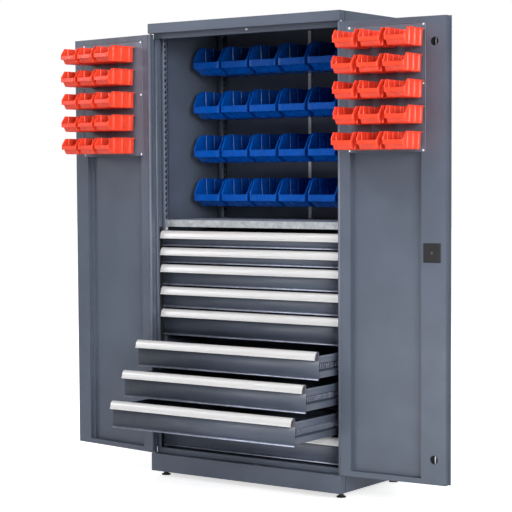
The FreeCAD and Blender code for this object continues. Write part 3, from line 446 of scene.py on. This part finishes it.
def make_piece(name, shape, finish, body, stands_for=(), smooth=35, thickness=0.0):
    """Mesh object from points in millimetres, welded, turned outwards, finished and set on its body.

    Edges bent by more than the smooth angle, in degrees, stay sharp. With a thickness the shape is a sheet.
    """
    points, faces = shape
    mesh = bpy.data.meshes.new(name)
    mesh.from_pydata((points * MM).tolist(), [], [list(face) for face in faces])
    work = bmesh.new()
    work.from_mesh(mesh)
    bmesh.ops.remove_doubles(work, verts=work.verts, dist=WELD)
    bmesh.ops.recalc_face_normals(work, faces=work.faces)
    work.to_mesh(mesh)
    work.free()
    mesh.shade_smooth()
    mesh.set_sharp_from_angle(angle=math.radians(smooth))
    mesh.materials.append(FINISHES[finish])
    piece = bpy.data.objects.new(name, mesh)
    bpy.context.scene.collection.objects.link(piece)
    if thickness:
        solid = piece.modifiers.new("sheet", "SOLIDIFY")
        solid.thickness = thickness * MM
        solid.offset = 0.0
        solid.use_even_offset = True
    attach(piece, body)
    if stands_for:
        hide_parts(*stands_for)


def node_box(node):
    """Lowest and highest corner of a solid, in millimetres."""
    low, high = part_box(node)
    return np.array(low) / MM, np.array(high) / MM


def rounded_path(corners, radius, steps):
    """Open path whose inner corners are arcs: tangent points blended by a quadratic through the corner.

    An arc takes up at most 0.45 of either side, so that two arcs never meet.
    """
    corners = np.asarray(corners, float)
    inner = corners[1:-1]
    before = corners[:-2] - inner
    after = corners[2:] - inner
    before_long = np.linalg.norm(before, axis=1)[:, None]
    after_long = np.linalg.norm(after, axis=1)[:, None]
    start = inner + before / before_long * np.minimum(radius, 0.45 * before_long)
    stop = inner + after / after_long * np.minimum(radius, 0.45 * after_long)
    t = np.linspace(0, 1, steps + 1)[None, :, None]
    arcs = (1 - t) ** 2 * start[:, None] + 2 * t * (1 - t) * inner[:, None] + t ** 2 * stop[:, None]
    return np.concatenate([corners[:1], arcs.reshape(-1, 2), corners[-1:]])


def swept(path, axis, start, stop):
    """Sheet made by carrying a flat path along one axis."""
    other = [i for i in range(3) if i != axis]
    points = np.zeros((2, len(path), 3))
    points[:, :, other] = path[None]
    points[0, :, axis] = start
    points[1, :, axis] = stop
    return points.reshape(-1, 3), grid_faces(2, len(path), wrap=False)


def bar(outline, start, stop):
    """Closed bar along X: an outline of (y, z) points carried from start to stop, with flat ends."""
    points, _ = swept(outline, 0, start, stop)
    return points, tube_faces(2, len(outline))


def turned(profile, sides, centre=(0.0, 0.0, 0.0), axis=2):
    """Lathe shape: (radius, height) pairs turned about an axis through the centre, closed at both ends."""
    angle = np.linspace(0, 2 * np.pi, sides, endpoint=False)
    radius, height = np.asarray(profile, float).T
    points = np.zeros((len(radius), sides, 3))
    points[:, :, (axis + 1) % 3] = radius[:, None] * np.cos(angle)
    points[:, :, (axis + 2) % 3] = radius[:, None] * np.sin(angle)
    points[:, :, axis] = height[:, None]
    return points.reshape(-1, 3) + centre, tube_faces(len(radius), sides)


def plate(x0, x1, y0, y1, z0, z1):
    """Six-sided block between two corners."""
    corners = np.array([[x, y, z] for x in (x0, x1) for y in (y0, y1) for z in (z0, z1)], float)
    return corners, np.array([[0, 1, 3, 2], [4, 6, 7, 5], [0, 4, 5, 1], [2, 3, 7, 6], [0, 2, 6, 4], [1, 5, 7, 3]])


class Door:
    """One door at rest, with its frame: s from the hinge edge, t from the outer face inwards, z up."""

    def __init__(self, body, side, panel_end, screws, row_starts, bin_pitch):
        joint = JOINTS[body + "_hinge"]
        swing = math.radians(FULLY_OPEN - joint["range_deg"][1])
        self.pivot = np.array(joint["pos_m"][:2]) / MM
        self.along = np.array([-side * math.cos(swing), -math.sin(swing)])
        self.inward = np.array([-side * math.sin(swing), math.cos(swing)])
        self.body = body
        self.panel_end = panel_end
        self.screws = screws
        self.row_starts = row_starts
        self.bin_pitch = bin_pitch

    def place(self, shape):
        """World shape of a shape that is given in (s, t, z)."""
        points, faces = shape
        plan = (points[:, :1] - HINGE_INSET) * self.along + (points[:, 1:2] - DOOR_MIDDLE) * self.inward + self.pivot
        return np.concatenate([plan, points[:, 2:]], 1), faces


# Millimetres along each door: end and screws of its louvre panel, start of each row of red bins, pitch of the bins.
LEFT_DOOR = Door("left_door", -1, panel_end=438.0, screws=(54.6, 432.5),
                 row_starts=(84.0, 85.0, 83.0, 86.0, 85.0), bin_pitch=110.5)
RIGHT_DOOR = Door("right_door", 1, panel_end=397.0, screws=(54.7, 387.0),
                  row_starts=(67.0, 61.0, 66.0, 69.0, 60.0), bin_pitch=115.0)
DOORS = (LEFT_DOOR, RIGHT_DOOR)


def bin_loop(half, long, ribs):
    """Plan loop of a bin as (x, distance from the back): straight sides, round corners, finer steps at the ribs."""
    near = np.linspace(-RIB_HALF, RIB_HALF, 9)
    side = np.unique(np.concatenate([np.linspace(CORNER, long - CORNER, 9), np.add.outer(ribs, near).ravel()]))
    turn = np.linspace(0, np.pi / 2, 5)[1:-1]
    front = np.linspace(half - CORNER, CORNER - half, 7)
    arc_x = half - CORNER + CORNER * np.cos(turn)
    arc_d = CORNER * np.sin(turn)
    x = np.concatenate([np.full(len(side), half), arc_x, front, -arc_x[::-1], np.full(len(side), -half), -arc_x,
                        -front, arc_x[::-1]])
    d = np.concatenate([side, long - CORNER + arc_d, np.full(len(front), long), long - CORNER + arc_d[::-1],
                        side[::-1], CORNER - arc_d, np.zeros(len(front)), CORNER - arc_d[::-1]])
    return x, d


def bin_shell(length, width, height, lip_top, lip_bottom, rim_end, toe, taper, wall, ribs, rib_height):
    """Open-fronted bin as one closed surface.

    A plan loop is carried up the outside, over the rim, down the inside and across the floor. The top edge follows
    the height h(d): level to the rim end, then falling straight to the lip. A band as wide as the rim runs along
    that edge and grows into the full-width lip at the front. Below the lip the front is set back, more so toward
    the floor. Upright flutes, cosine-shaped in plan, push the tapered side walls out to the rim.
    """
    half = width / 2 - RIM
    x, d = bin_loop(half, length, ribs)
    top = np.where(d < rim_end, height, lip_top + (height - lip_top) * (length - d) / (length - rim_end))
    band = np.where(d > length - CORNER - NEAR, lip_bottom, top - RIM_DEEP)
    away = np.clip(abs(d[:, None] - np.array(ribs)) / RIB_HALF, 0, 1)
    flute = (np.cos(away * np.pi) * 0.5 + 0.5).sum(1) * np.sign(x) * (abs(x) > half - NEAR)
    ground = 0 * d
    low = ground + lip_bottom
    between = (low + band) / 2
    # Slope at the floor, foot of the flutes, step under the lip, seam under the band, bevel of the rim.
    slope, foot, step, seam, bevel = 3.0, 2.5, 0.4, 0.01, 0.9
    # One row: shift of the sides, inset of the ends, height, share of the flutes.
    rows = [
        (-slope, slope, ground, 0.0), (0.0, 0.0, ground + foot, 0.7), (0.0, 0.0, low * 0.5, 1.0),
        (0.0, 0.0, low - step, 1.0), (0.0, 0.0, low, 1.0), (0.0, 0.0, between, 1.0), (0.0, 0.0, band - seam, 0.9),
        (RIM, 0.0, band, 0.0), (RIM, 0.0, top - bevel, 0.0), (RIM - bevel, bevel, top, 0.0),
        (bevel - wall, wall - bevel, top, 0.0), (-wall, wall, top - bevel, 0.5), (-wall, wall, between + wall, 1.0),
        (-wall, wall, low + wall, 1.0), (-wall, wall, low + wall - step, 1.0), (-wall, wall, low * 0.5 + wall, 1.0),
        (-wall, wall, ground + wall + slope, 0.7), (-wall - slope, wall + slope, ground + wall, 0.0),
    ]
    forward = np.clip((d - max(ribs) - LIP_RUN) / (length - max(ribs) - LIP_RUN), 0, 1)
    rearward = np.clip(1 - d / REAR_RUN, 0, 1)
    layers = []
    for side, end, z, share in rows:
        narrowing = taper * (1 - z / height)
        inside = wall if end >= wall else 0.0
        below = z - inside < lip_bottom - step / 2
        back = np.where(below, toe - (toe - LIP_STEP) * np.clip((z - inside) / lip_bottom, 0, 1), 0.0)
        rear = np.where(z < top - RIM_DEEP - seam / 2, REAR_STEP, 0.0)
        depth = end + (d - back * forward + rear * rearward) * (length - 2 * end) / length
        stand = (rib_height + narrowing) * share
        layers.append(np.stack([x / half * (half - narrowing + side) + flute * stand, -depth, z], -1))
    floor_out = layers[0].mean(0) * [0, 1, 1] + 0 * layers[0]
    floor_in = layers[-1].mean(0) * [0, 1, 1] + 0 * layers[-1]
    points = np.stack([floor_out] + layers + [floor_in])
    return points.reshape(-1, 3), grid_faces(len(points), len(d))


def label_frame(half, y, low, high):
    """Raised frame of a label field: a small bead carried round a rectangle."""
    corner = np.array([[-half, low], [half, low], [half, high], [-half, high]])
    middle = corner.mean(0)
    share = 2 * LABEL_BEAD / (high - low) * np.array([(high - low) / (2 * half), 1.0])
    inner = middle + (corner - middle) * (1 - share)
    proud = y - LABEL_BEAD * 0.7
    loops = [(corner, y), (corner, proud), (inner, proud), (inner, y)]
    points = np.concatenate([np.insert(loop, 1, depth, axis=1) for loop, depth in loops])
    last = (len(loops) - 1) * 4
    closing = [[last + j, last + (j + 1) % 4, (j + 1) % 4, j] for j in range(4)]
    return points, grid_faces(len(loops), 4).tolist() + closing


def bin_parts(size, rib_height):
    """One bin with its hanging hook and the label frame on its lip."""
    half = size["width"] / 2
    top = size["height"]
    wide = half * 0.55
    web = top - HOOK_DOWN
    hook = [plate(-wide, wide, -REAR_STEP - 0.5, HOOK_OUT, web - HOOK_SHEET, web),
            plate(-wide, wide, HOOK_OUT - HOOK_SHEET, HOOK_OUT, web - 1.0 - HOOK_HIGH, web - 1.0)]
    label = label_frame(half * 0.62, LABEL_SUNK - size["length"], size["lip_bottom"] + 3.0, size["lip_top"] - 3.5)
    return gathered([bin_shell(rib_height=rib_height, **size), *hook, label])


class CABINET_OT_finishes(bpy.types.Operator):
    """Give every solid that stays in view its finish"""

    bl_idname = "cabinet.finishes"
    bl_label = "Finishes"

    def execute(self, context):
        make_finishes(context.scene.cabinet_colours)
        for entry in frame["record"]["subparts"]:
            finish = NODE_FINISH.get(entry["node"], SLOT_FINISH[entry["material_slot"]])
            for slot in NODES[entry["node"]].material_slots:
                slot.material = FINISHES[finish]
        return {"FINISHED"}


class CABINET_OT_blue_bins(bpy.types.Operator):
    """Build the four rows of blue bins inside the cabinet"""

    bl_idname = "cabinet.blue_bins"
    bl_label = "Blue bins"

    def execute(self, context):
        shape = bin_parts(BLUE_BIN, context.scene.cabinet_sizes.rib_height / MM)
        for row in BLUE_ROWS:
            node = "blue_bins_row_%d" % row
            low = node_box(node)[0]
            places = [(x, low[1] + BLUE_BIN["length"], low[2]) for x in BLUE_COLUMNS]
            make_piece("blue_bins_%d" % row, copies(shape, places), "blue", "carcass", [node])
        return {"FINISHED"}


class CABINET_OT_red_bins(bpy.types.Operator):
    """Build the red bins that hang on the louvre panels of both doors"""

    bl_idname = "cabinet.red_bins"
    bl_label = "Red bins"

    def execute(self, context):
        points, faces = bin_parts(RED_BIN, context.scene.cabinet_sizes.rib_height / MM)
        facing = (points * [-1, -1, 1], faces)
        for door in DOORS:
            places = [(start + RED_BIN["width"] / 2 + column * door.bin_pitch, RED_BACK,
                       RED_ROW_TOP - RED_BIN["height"] - row * RED_ROW_PITCH)
                      for row, start in enumerate(door.row_starts) for column in range(3)]
            make_piece(door.body + "_red_bins", door.place(copies(facing, places)), "red", door.body,
                       [door.body + "_bins"])
        return {"FINISHED"}


def handle_outline(front, top):
    """Section of the handle rail as (y, z): flat top, round shoulder, slanted face, a groove and a proud lower lip.

    Its points are counted forwards from the drawer front and down from the rail's top.
    """
    outer = rounded_path([(0, 0), (10, 0), (19.5, 10), (22.8, 25), (23.2, 26)], radius=11.0, steps=6)
    groove = [(21.4, 26.4), (21.4, 27.6)]
    lip = rounded_path([(23.6, 28), (RAIL_DEEP, 28.4), (RAIL_DEEP, RAIL_HIGH), (22.5, RAIL_HIGH), (22.5, 31)],
                       radius=1.2, steps=3)
    inner = rounded_path([(19, 28), (11.8, 2.5), (2.5, 2.5)], radius=6.0, steps=6)
    back = [(2.5, 22), (0, 22)]
    return np.array([front, top]) - np.concatenate([outer, groove, lip, inner, back])


def cap_outline(front, top, inset):
    """Side view of an end cap: the rail's outer shape closed down to its lower edge, with round rear corners."""
    back = inset - CAP_BACK
    nose = RAIL_DEEP - inset
    foot = RAIL_HIGH - inset
    path = [(back, 17), (back, inset), (10, inset), (19.5 - inset, 10), (nose, 28), (nose, foot), (back, foot),
            (back, 18)]
    return np.array([front, top]) - rounded_path(path, radius=6.0, steps=5)


def end_cap(x, way, front, top):
    """End cap with a rounded edge: its side view carried along X, smaller at the outer face."""
    loops = [np.insert(cap_outline(front, top, inset), 0, x + way * depth, axis=1) for inset, depth in CAP_LOOPS]
    return np.concatenate(loops), tube_faces(len(loops), len(loops[0]))


class CABINET_OT_handles(bpy.types.Operator):
    """Build the aluminium handle rails and their end caps"""

    bl_idname = "cabinet.handles"
    bl_label = "Handle rails"

    def execute(self, context):
        for number in DRAWERS:
            node = "drawer_%d_handle" % number
            body = "drawer_%d" % number
            low, high = node_box(node)
            rail = bar(handle_outline(high[1], high[2]), low[0] + 1, high[0] - 1)
            make_piece("handle_rail_%d" % number, rail, "aluminium", body, [node], smooth=50)
            # The caps reach past the rail, over the edge of the drawer front.
            caps = [end_cap(x, way, high[1], high[2])
                    for x, way in ((low[0] - CAP_OVER, 1), (high[0] + CAP_OVER, -1))]
            make_piece("handle_caps_%d" % number, gathered(caps), "cap", body)
        return {"FINISHED"}


def slotted_strip(x, way, y0, y1, z0, z1, sizes):
    """Upright strip with a row of oval slots: in each cell rings run from the cell's edge over a raised collar to
    the edge of the slot."""
    count = int((y1 - y0) // (sizes.slot_pitch / MM))
    pitch = (y1 - y0) / count
    sides = 12
    angle = np.arange(sides) * 2 * np.pi / sides + np.pi / sides
    turn = np.stack([np.cos(angle), np.sin(angle)], -1)
    # A circle that is stretched and then clipped to the cell reaches the cell's corners.
    square = np.clip(turn * 1.45, -1, 1) * [pitch / 2, (z1 - z0) / 2]
    half = sizes.slot_width / MM / 2
    straight = np.stack([0 * angle, np.sign(turn[:, 1]) * (sizes.slot_height / MM / 2 - half)], -1)
    rings = np.stack([square, *[turn * (half + wide) + straight for wide, _ in COLLAR]])
    rise = np.repeat([0.0, *[height for _, height in COLLAR]], sides)
    centres = np.stack([y0 + pitch * (np.arange(count) + 0.5), np.full(count, (z0 + z1) / 2)], -1)
    flat = (rings.reshape(1, -1, 2) + centres[:, None]).reshape(-1, 2)
    points = np.column_stack([x + way * np.tile(rise, count), flat])
    return points, cell_faces(len(rings), sides, count)


class CABINET_OT_drawers(bpy.types.Operator):
    """Build the folded drawer trays with slotted sides, and the ledges under their fronts"""

    bl_idname = "cabinet.drawers"
    bl_label = "Drawer trays"

    def execute(self, context):
        side = TRAY_SIDE
        inner = TRAY_SIDE - TRAY_RECESS
        for number in DRAWERS:
            node = "drawer_%d_tray" % number
            body = "drawer_%d" % number
            low, high = node_box(node)
            face = low[1] + TRAY_FACE
            back = high[1] - TRAY_SHEET / 2
            reach = (face + TRAY_SHEET / 2, back + TRAY_SHEET / 2)
            rim = high[2] - TRAY_RIM
            floor = low[2] + TRAY_FLOOR
            hem = rim - TRAY_HEM
            high_edge = (rim + floor) / 2 + STRIP_HALF
            low_edge = (rim + floor) / 2 - STRIP_HALF
            upper = rounded_path([(inner, high_edge), (side, high_edge + 1.5), (side, hem), (side + 3, hem - 0.6),
                                  (side + 3, rim), (side - 8, rim)], radius=1.6, steps=3)
            lower = rounded_path([(0, floor), (side - 1, floor), (side - 1, low_edge - 6.5),
                                  (side + 1.5, low_edge - 6), (inner, low_edge)], radius=1.2, steps=3)
            shapes, strips = [], []
            for sign in (-1, 1):
                shapes += [swept(path * [sign, 1], 1, *reach) for path in (upper, lower)]
                strips.append(slotted_strip(sign * inner, sign, *reach, low_edge, high_edge,
                                            context.scene.cabinet_sizes))
            make_piece("slotted_strips_%d" % number, gathered(strips), "strip", body, smooth=30,
                       thickness=STRIP_SHEET)
            # The ledge's pale colour paints the highlight along the front's lower edge.
            ledge = rounded_path([(face - 0.4, low[2] + 8.5), (low[1] + 0.8, low[2] + 4),
                                  (low[1] + 0.8, low[2] + 0.8), (face + 2, low[2] + 0.8)], radius=1.4, steps=3)
            make_piece("front_ledge_%d" % number, swept(ledge, 0, low[0], high[0]), "trim", body,
                       smooth=40, thickness=TRAY_SHEET)
            front = np.array([(face, high[2]), (face, low[2] + TRAY_SHEET / 2)])
            shapes.append(swept(front, 0, low[0], high[0]))
            outline = np.concatenate([lower, upper[:-1]])
            outline = np.concatenate([outline, (outline * [-1, 1])[::-1]])
            shapes.append((np.insert(outline, 1, back, axis=1), [range(len(outline))]))
            # The trays take the drawers' darker coat, which paints the shade on them.
            make_piece("drawer_tray_%d" % number, gathered(shapes), "drawer", body, [node], smooth=30,
                       thickness=TRAY_SHEET)
        return {"FINISHED"}


def hole_row(x, y0, y1, z, line, holes, pitch):
    """Upright web with one rectangular hole in every cell: a ring of four faces from the cell's edge to the hole."""
    corner = np.array([[-1, -1], [1, -1], [1, 1], [-1, 1]]) / 2
    count = len(holes)
    middle = np.stack([np.full(count, line), z + pitch * (np.arange(count) + 0.5)], -1)[:, None]
    cell = np.array([[(y0 + y1) / 2 - line, 0]]) + corner * [y1 - y0, pitch]
    flat = np.concatenate([middle + cell, middle + corner * holes[:, None]], 1).reshape(-1, 2)
    return np.insert(flat, 0, x, axis=1), cell_faces(2, 4, count)


class CABINET_OT_uprights(bpy.types.Operator):
    """Build the four perforated uprights and the near-black sheets that paint the shade behind their holes"""

    bl_idname = "cabinet.uprights"
    bl_label = "Uprights"

    def execute(self, context):
        shelf = node_box("zinc_shelf")[1][2]
        for node in ("front_left_upright", "front_right_upright", "rear_left_upright", "rear_right_upright"):
            low, high = node_box(node)
            way = 1 if low[0] > 0 else -1
            web = min(abs(low[0]), abs(high[0])) + SHEET / 2
            wall = max(abs(low[0]), abs(high[0])) - SHEET / 2
            y0, y1 = low[1] + SHEET / 2, high[1] - SHEET / 2
            # The rear uprights carry a small hole between every two large ones.
            steps = 2 if "rear" in node else 1
            pitch = HOLE_PITCH / steps
            count = int((high[2] - shelf) // HOLE_PITCH) * steps
            large = np.arange(count) % steps == 0
            holes = np.where(large[:, None], LARGE_HOLE, SMALL_HOLE)
            start = shelf if steps == 1 else shelf + pitch / 2
            last = start + pitch * count
            line = low[1] + HOLE_LINE
            flange = np.array([(way * wall, y1), (way * web, y1)])
            plain = np.array([(way * web, y0), (way * web, y1)])
            shapes = [hole_row(way * web, y0, y1, start, line, holes, pitch),
                      swept(flange, 2, low[2], high[2]), swept(flange * [1, 0] + [0, y0], 2, low[2], high[2]),
                      swept(plain, 2, low[2], start), swept(plain, 2, min(last, high[2] - 1), high[2])]
            make_piece("perforated_" + node, gathered(shapes), "coat", "carcass", [node], smooth=20,
                       thickness=SHEET)
            # A near-black sheet behind the holes paints the shade seen through them.
            across = sorted((way * (web + PAINTED_SHADE_SHEET_GAP), way * (web + PAINTED_SHADE_SHEET_GAP + PAINTED_SHADE_SHEET)))
            liner = plate(*across, line - PAINTED_SHADE_SHEET_HALF, line + PAINTED_SHADE_SHEET_HALF, shelf, high[2] - 2)
            make_piece("liner_" + node, liner, "liner", "carcass")
        return {"FINISHED"}


class CABINET_OT_edges(bpy.types.Operator):
    """Build the front edges of the side panels, near-black strips that paint the shade in the gaps beside the
    drawers, and the hinge hems of the doors
    """

    bl_idname = "cabinet.edges"
    bl_label = "Side edges"

    def execute(self, context):
        plinth_low, plinth_high = node_box("plinth_beam")
        front = plinth_low[1] + FOLD_LINE
        bottom = plinth_high[2] + 1
        ceiling = node_box("cap_beam")[0][2] - 1
        shelf = node_box("zinc_shelf")[0][2]
        for node in ("left_side_panel", "right_side_panel"):
            low, high = node_box(node)
            way = 1 if high[0] > 0 else -1
            outer = max(abs(low[0]), abs(high[0]))
            face = way * (outer - SHEET / 2)
            fold = rounded_path([(way * (outer - FOLD_WIDE), front + FOLD_DEEP), (face, front + FOLD_DEEP),
                                 (face, front)], radius=1.5, steps=3)
            make_piece("front_edge_" + node, swept(fold, 2, bottom, ceiling), "coat", "carcass",
                       smooth=40, thickness=SHEET)
            # A near-black strip behind the gap beside the drawers paints the shade there.
            inner = outer - SIDE_FLANGE
            across = sorted((way * inner, way * (inner - PAINTED_SHADE_STRIP)))
            strip = plate(*across, low[1] + PAINTED_SHADE_STRIP_FRONT, low[1] + PAINTED_SHADE_STRIP_BACK, bottom, shelf)
            make_piece("painted_shade_strip_" + node, strip, "liner", "carcass")
        # The hem's paler coat paints the highlight on the door's hinge edge.
        inside = 2 * DOOR_MIDDLE + HEM_PROUD
        path = rounded_path([(-HEM_PROUD, DOOR_MIDDLE), (-HEM_PROUD, inside), (HEM_WIDE, inside)],
                            radius=6.0, steps=8)
        for door in DOORS:
            low, high = node_box(door.body + "_skin")
            hem = door.place(swept(path, 2, low[2] + 1, high[2] - 1))
            make_piece(door.body + "_hinge_hem", hem, "panel", door.body, smooth=60,
                       thickness=HEM_SHEET)
        return {"FINISHED"}


def screw_head(radius, height):
    """Domed head: half an ellipse turned about the screw's axis, as (radius, height) pairs."""
    angle = np.linspace(0.12, np.pi / 2, 6)
    dome = np.stack([radius * np.sin(angle), height * np.cos(angle)], -1)
    return np.concatenate([dome, [[radius, -0.3]]])


def panel_edge(end):
    """Rolled edge of a louvre panel: its arch carried round the panel's outline."""
    arch = np.array(PANEL_ARCH)
    corner = np.array([(PANEL_START, PANEL_LOW), (end, PANEL_LOW), (end, PANEL_HIGH), (PANEL_START, PANEL_HIGH)])
    inward = np.array([(1, 1), (-1, 1), (-1, -1), (1, -1)])
    flat = corner[None] + arch[:, :1, None] * inward[None]
    height = np.repeat(PANEL_FACE + arch[:, 1], len(corner))
    points = np.column_stack([flat[..., 0].ravel(), height, flat[..., 1].ravel()])
    return points, grid_faces(len(arch), len(corner))


class CABINET_OT_fittings(bpy.types.Operator):
    """Build the panels' screws and edges, the rivets, the lock's key disc, the foot nuts and the cap's buffer"""

    bl_idname = "cabinet.fittings"
    bl_label = "Fittings"

    def execute(self, context):
        radius = context.scene.cabinet_sizes.screw_radius / MM
        head = turned(screw_head(radius, SCREW_RISE), ROUND, axis=1)
        for door in DOORS:
            places = [(s, PANEL_FACE, z) for s in door.screws for z in SCREW_HEIGHTS]
            screws = door.place(copies(head, places))
            make_piece(door.body + "_panel_screws", screws, "white", door.body)
        # The panel edges take the paler coat, which paints their highlight.
        for door in DOORS:
            edge = door.place(panel_edge(door.panel_end))
            make_piece(door.body + "_panel_edge", edge, "panel", door.body)
        # The rivets hold the bin rails, and stand out less than the rear flanges of the side panels.
        rivet = turned(screw_head(RIVET_RADIUS, RIVET_RISE), 16, axis=1)
        back = node_box("back_panel")[1][1]
        rails = [node_box("blue_bins_row_%d" % row)[1][2] - RIVET_DROP for row in BLUE_ROWS]
        rivets = copies(rivet, [(x, back, z) for x in BLUE_COLUMNS for z in rails])
        make_piece("back_rivets", rivets, "steel", "carcass")
        disc = RIGHT_DOOR.place(turned(KEY_DISC, ROUND, LOCK_PLACE, axis=1))
        make_piece("lock_key_disc", disc, "cap", "right_door")
        nuts = copies(turned(FOOT_NUT, 6), FOOT_PLACES)
        make_piece("foot_nuts", nuts, "steel", "carcass", smooth=20)
        beam = node_box("cap_beam")[0] * [0, 1, 1]
        buffer = turned(BUFFER, ROUND, beam + BUFFER_PLACE, axis=1)
        make_piece("cap_buffer", buffer, "white", "carcass")
        return {"FINISHED"}


def area_light(name, place, aim, size, power, tint):
    """Soft rectangular lamp that faces a point."""
    lamp = bpy.data.lights.new(name, "AREA")
    lamp.shape = "RECTANGLE"
    lamp.size, lamp.size_y = size
    lamp.energy = power
    lamp.color = linear(tint)[:3]
    holder = bpy.data.objects.new(name, lamp)
    holder.location = place
    holder.rotation_mode = "QUATERNION"
    holder.rotation_quaternion = (Vector(aim) - Vector(place)).to_track_quat("-Z", "Y")
    bpy.context.scene.collection.objects.link(holder)


class CABINET_OT_stage(bpy.types.Operator):
    """Set up the floor, the world, the lamps and the camera"""

    bl_idname = "cabinet.stage"
    bl_label = "Stage"

    def execute(self, context):
        scene = context.scene
        scene.view_settings.view_transform = "Standard"
        self.floor()
        self.world(scene)
        for lamp in LAMPS:
            area_light(*lamp)
        self.camera(scene)
        return {"FINISHED"}

    def floor(self):
        """Wide pale floor that keeps the shadow and goes white for the camera."""
        material, tree, place = start_material("pale_studio_floor")
        rays = put(tree, "ShaderNodeLightPath")
        # The floor's own glow grows from the object outwards, so that it meets the white surroundings unseen.
        far = put(tree, "ShaderNodeVectorMath", links={0: place}, operation="LENGTH")
        glow = ranged(tree, far.outputs["Value"], 0.66, 1.0, low=0.5, high=2.4)
        lift = put(tree, "ShaderNodeMath", links={0: rays.outputs["Is Camera Ray"], 1: glow}, operation="MULTIPLY")
        paper = put(tree, "ShaderNodeBsdfDiffuse", {"Color": (0.86, 0.86, 0.86, 1)})
        light = put(tree, "ShaderNodeEmission", {"Color": (1, 1, 1, 1)}, {"Strength": lift.outputs[0]})
        both = put(tree, "ShaderNodeAddShader", links={0: paper.outputs[0], 1: light.outputs[0]})
        close_material(tree, both)
        mesh = bpy.data.meshes.new("floor")
        corners = [(x * FLOOR_HALF, y * FLOOR_HALF, 0) for x, y in ((-1, -1), (1, -1), (1, 1), (-1, 1))]
        mesh.from_pydata(corners, [], [(0, 1, 2, 3)])
        mesh.materials.append(material)
        floor = bpy.data.objects.new("floor", mesh)
        bpy.context.scene.collection.objects.link(floor)

    def world(self, scene):
        """Soft grey surroundings that the camera sees as white."""
        world = bpy.data.worlds.new("studio")
        world.use_nodes = True
        tree = world.node_tree
        tree.nodes.clear()
        rays = put(tree, "ShaderNodeLightPath").outputs
        seen = put(tree, "ShaderNodeMath", links={0: rays["Is Camera Ray"], 1: rays["Is Transmission Ray"]},
                   operation="MAXIMUM")
        strength = ranged(tree, seen.outputs[0], 0.2, 1.0)
        sky = put(tree, "ShaderNodeBackground", {"Color": (1, 1, 1, 1)}, {"Strength": strength})
        put(tree, "ShaderNodeOutputWorld", links={"Surface": sky.outputs[0]})
        scene.world = world

    def camera(self, scene):
        """Camera of the photograph: place, turn, long lens and the shift that its framing needs."""
        yaw, pitch, roll = (math.radians(angle) for angle in CAMERA_TURN)
        back = np.array([math.sin(yaw) * math.cos(pitch), -math.cos(yaw) * math.cos(pitch), math.sin(pitch)])
        level = np.array([math.cos(yaw), math.sin(yaw), 0.0])
        upward = np.cross(back, level)
        right = math.cos(roll) * level + math.sin(roll) * upward
        up = math.cos(roll) * upward - math.sin(roll) * level
        data = bpy.data.cameras.new("camera")
        data.sensor_width = SENSOR
        data.lens = CAMERA_FOCUS / PICTURE * SENSOR
        data.shift_x = (PICTURE / 2 - CAMERA_CENTRE[0]) / PICTURE
        data.shift_y = (CAMERA_CENTRE[1] - PICTURE / 2) / PICTURE
        data.clip_end = 200.0
        camera = bpy.data.objects.new("camera", data)
        turn = Matrix(np.column_stack([right, up, back]).tolist()).to_4x4()
        camera.matrix_world = Matrix.Translation(CAMERA_PLACE) @ turn
        bpy.context.scene.collection.objects.link(camera)
        scene.camera = camera


class CABINET_PT_panel(bpy.types.Panel):
    """Sidebar panel with the sizes, colours and pieces of the cabinet"""

    bl_idname = "CABINET_PT_panel"
    bl_label = "Bin cabinet"
    bl_space_type = "VIEW_3D"
    bl_region_type = "UI"
    bl_category = "Cabinet"

    def draw(self, context):
        for group in (context.scene.cabinet_sizes, context.scene.cabinet_colours):
            for name in group.bl_rna.properties.keys():
                if name not in ("rna_type", "name"):
                    self.layout.prop(group, name)
        for operator in OPERATORS:
            self.layout.operator(operator.bl_idname)


OPERATORS = (CABINET_OT_finishes, CABINET_OT_blue_bins, CABINET_OT_red_bins, CABINET_OT_handles, CABINET_OT_drawers,
             CABINET_OT_uprights, CABINET_OT_edges, CABINET_OT_fittings, CABINET_OT_stage)
CLASSES = (CabinetSizes, CabinetColours, *OPERATORS, CABINET_PT_panel)


def register():
    """Register the classes and hang the properties on the scene."""
    for cls in CLASSES:
        bpy.utils.register_class(cls)
    bpy.types.Scene.cabinet_sizes = bpy.props.PointerProperty(type=CabinetSizes)
    bpy.types.Scene.cabinet_colours = bpy.props.PointerProperty(type=CabinetColours)


def unregister():
    """Take the properties and classes away again."""
    del bpy.types.Scene.cabinet_colours
    del bpy.types.Scene.cabinet_sizes
    for cls in reversed(CLASSES):
        bpy.utils.unregister_class(cls)


def main():
    """Build the cabinet."""
    register()
    bpy.ops.cabinet.finishes()
    bpy.ops.cabinet.blue_bins()
    bpy.ops.cabinet.red_bins()
    bpy.ops.cabinet.handles()
    bpy.ops.cabinet.drawers()
    bpy.ops.cabinet.uprights()
    bpy.ops.cabinet.edges()
    bpy.ops.cabinet.fittings()
    bpy.ops.cabinet.stage()


if __name__ == "__main__":
    main()
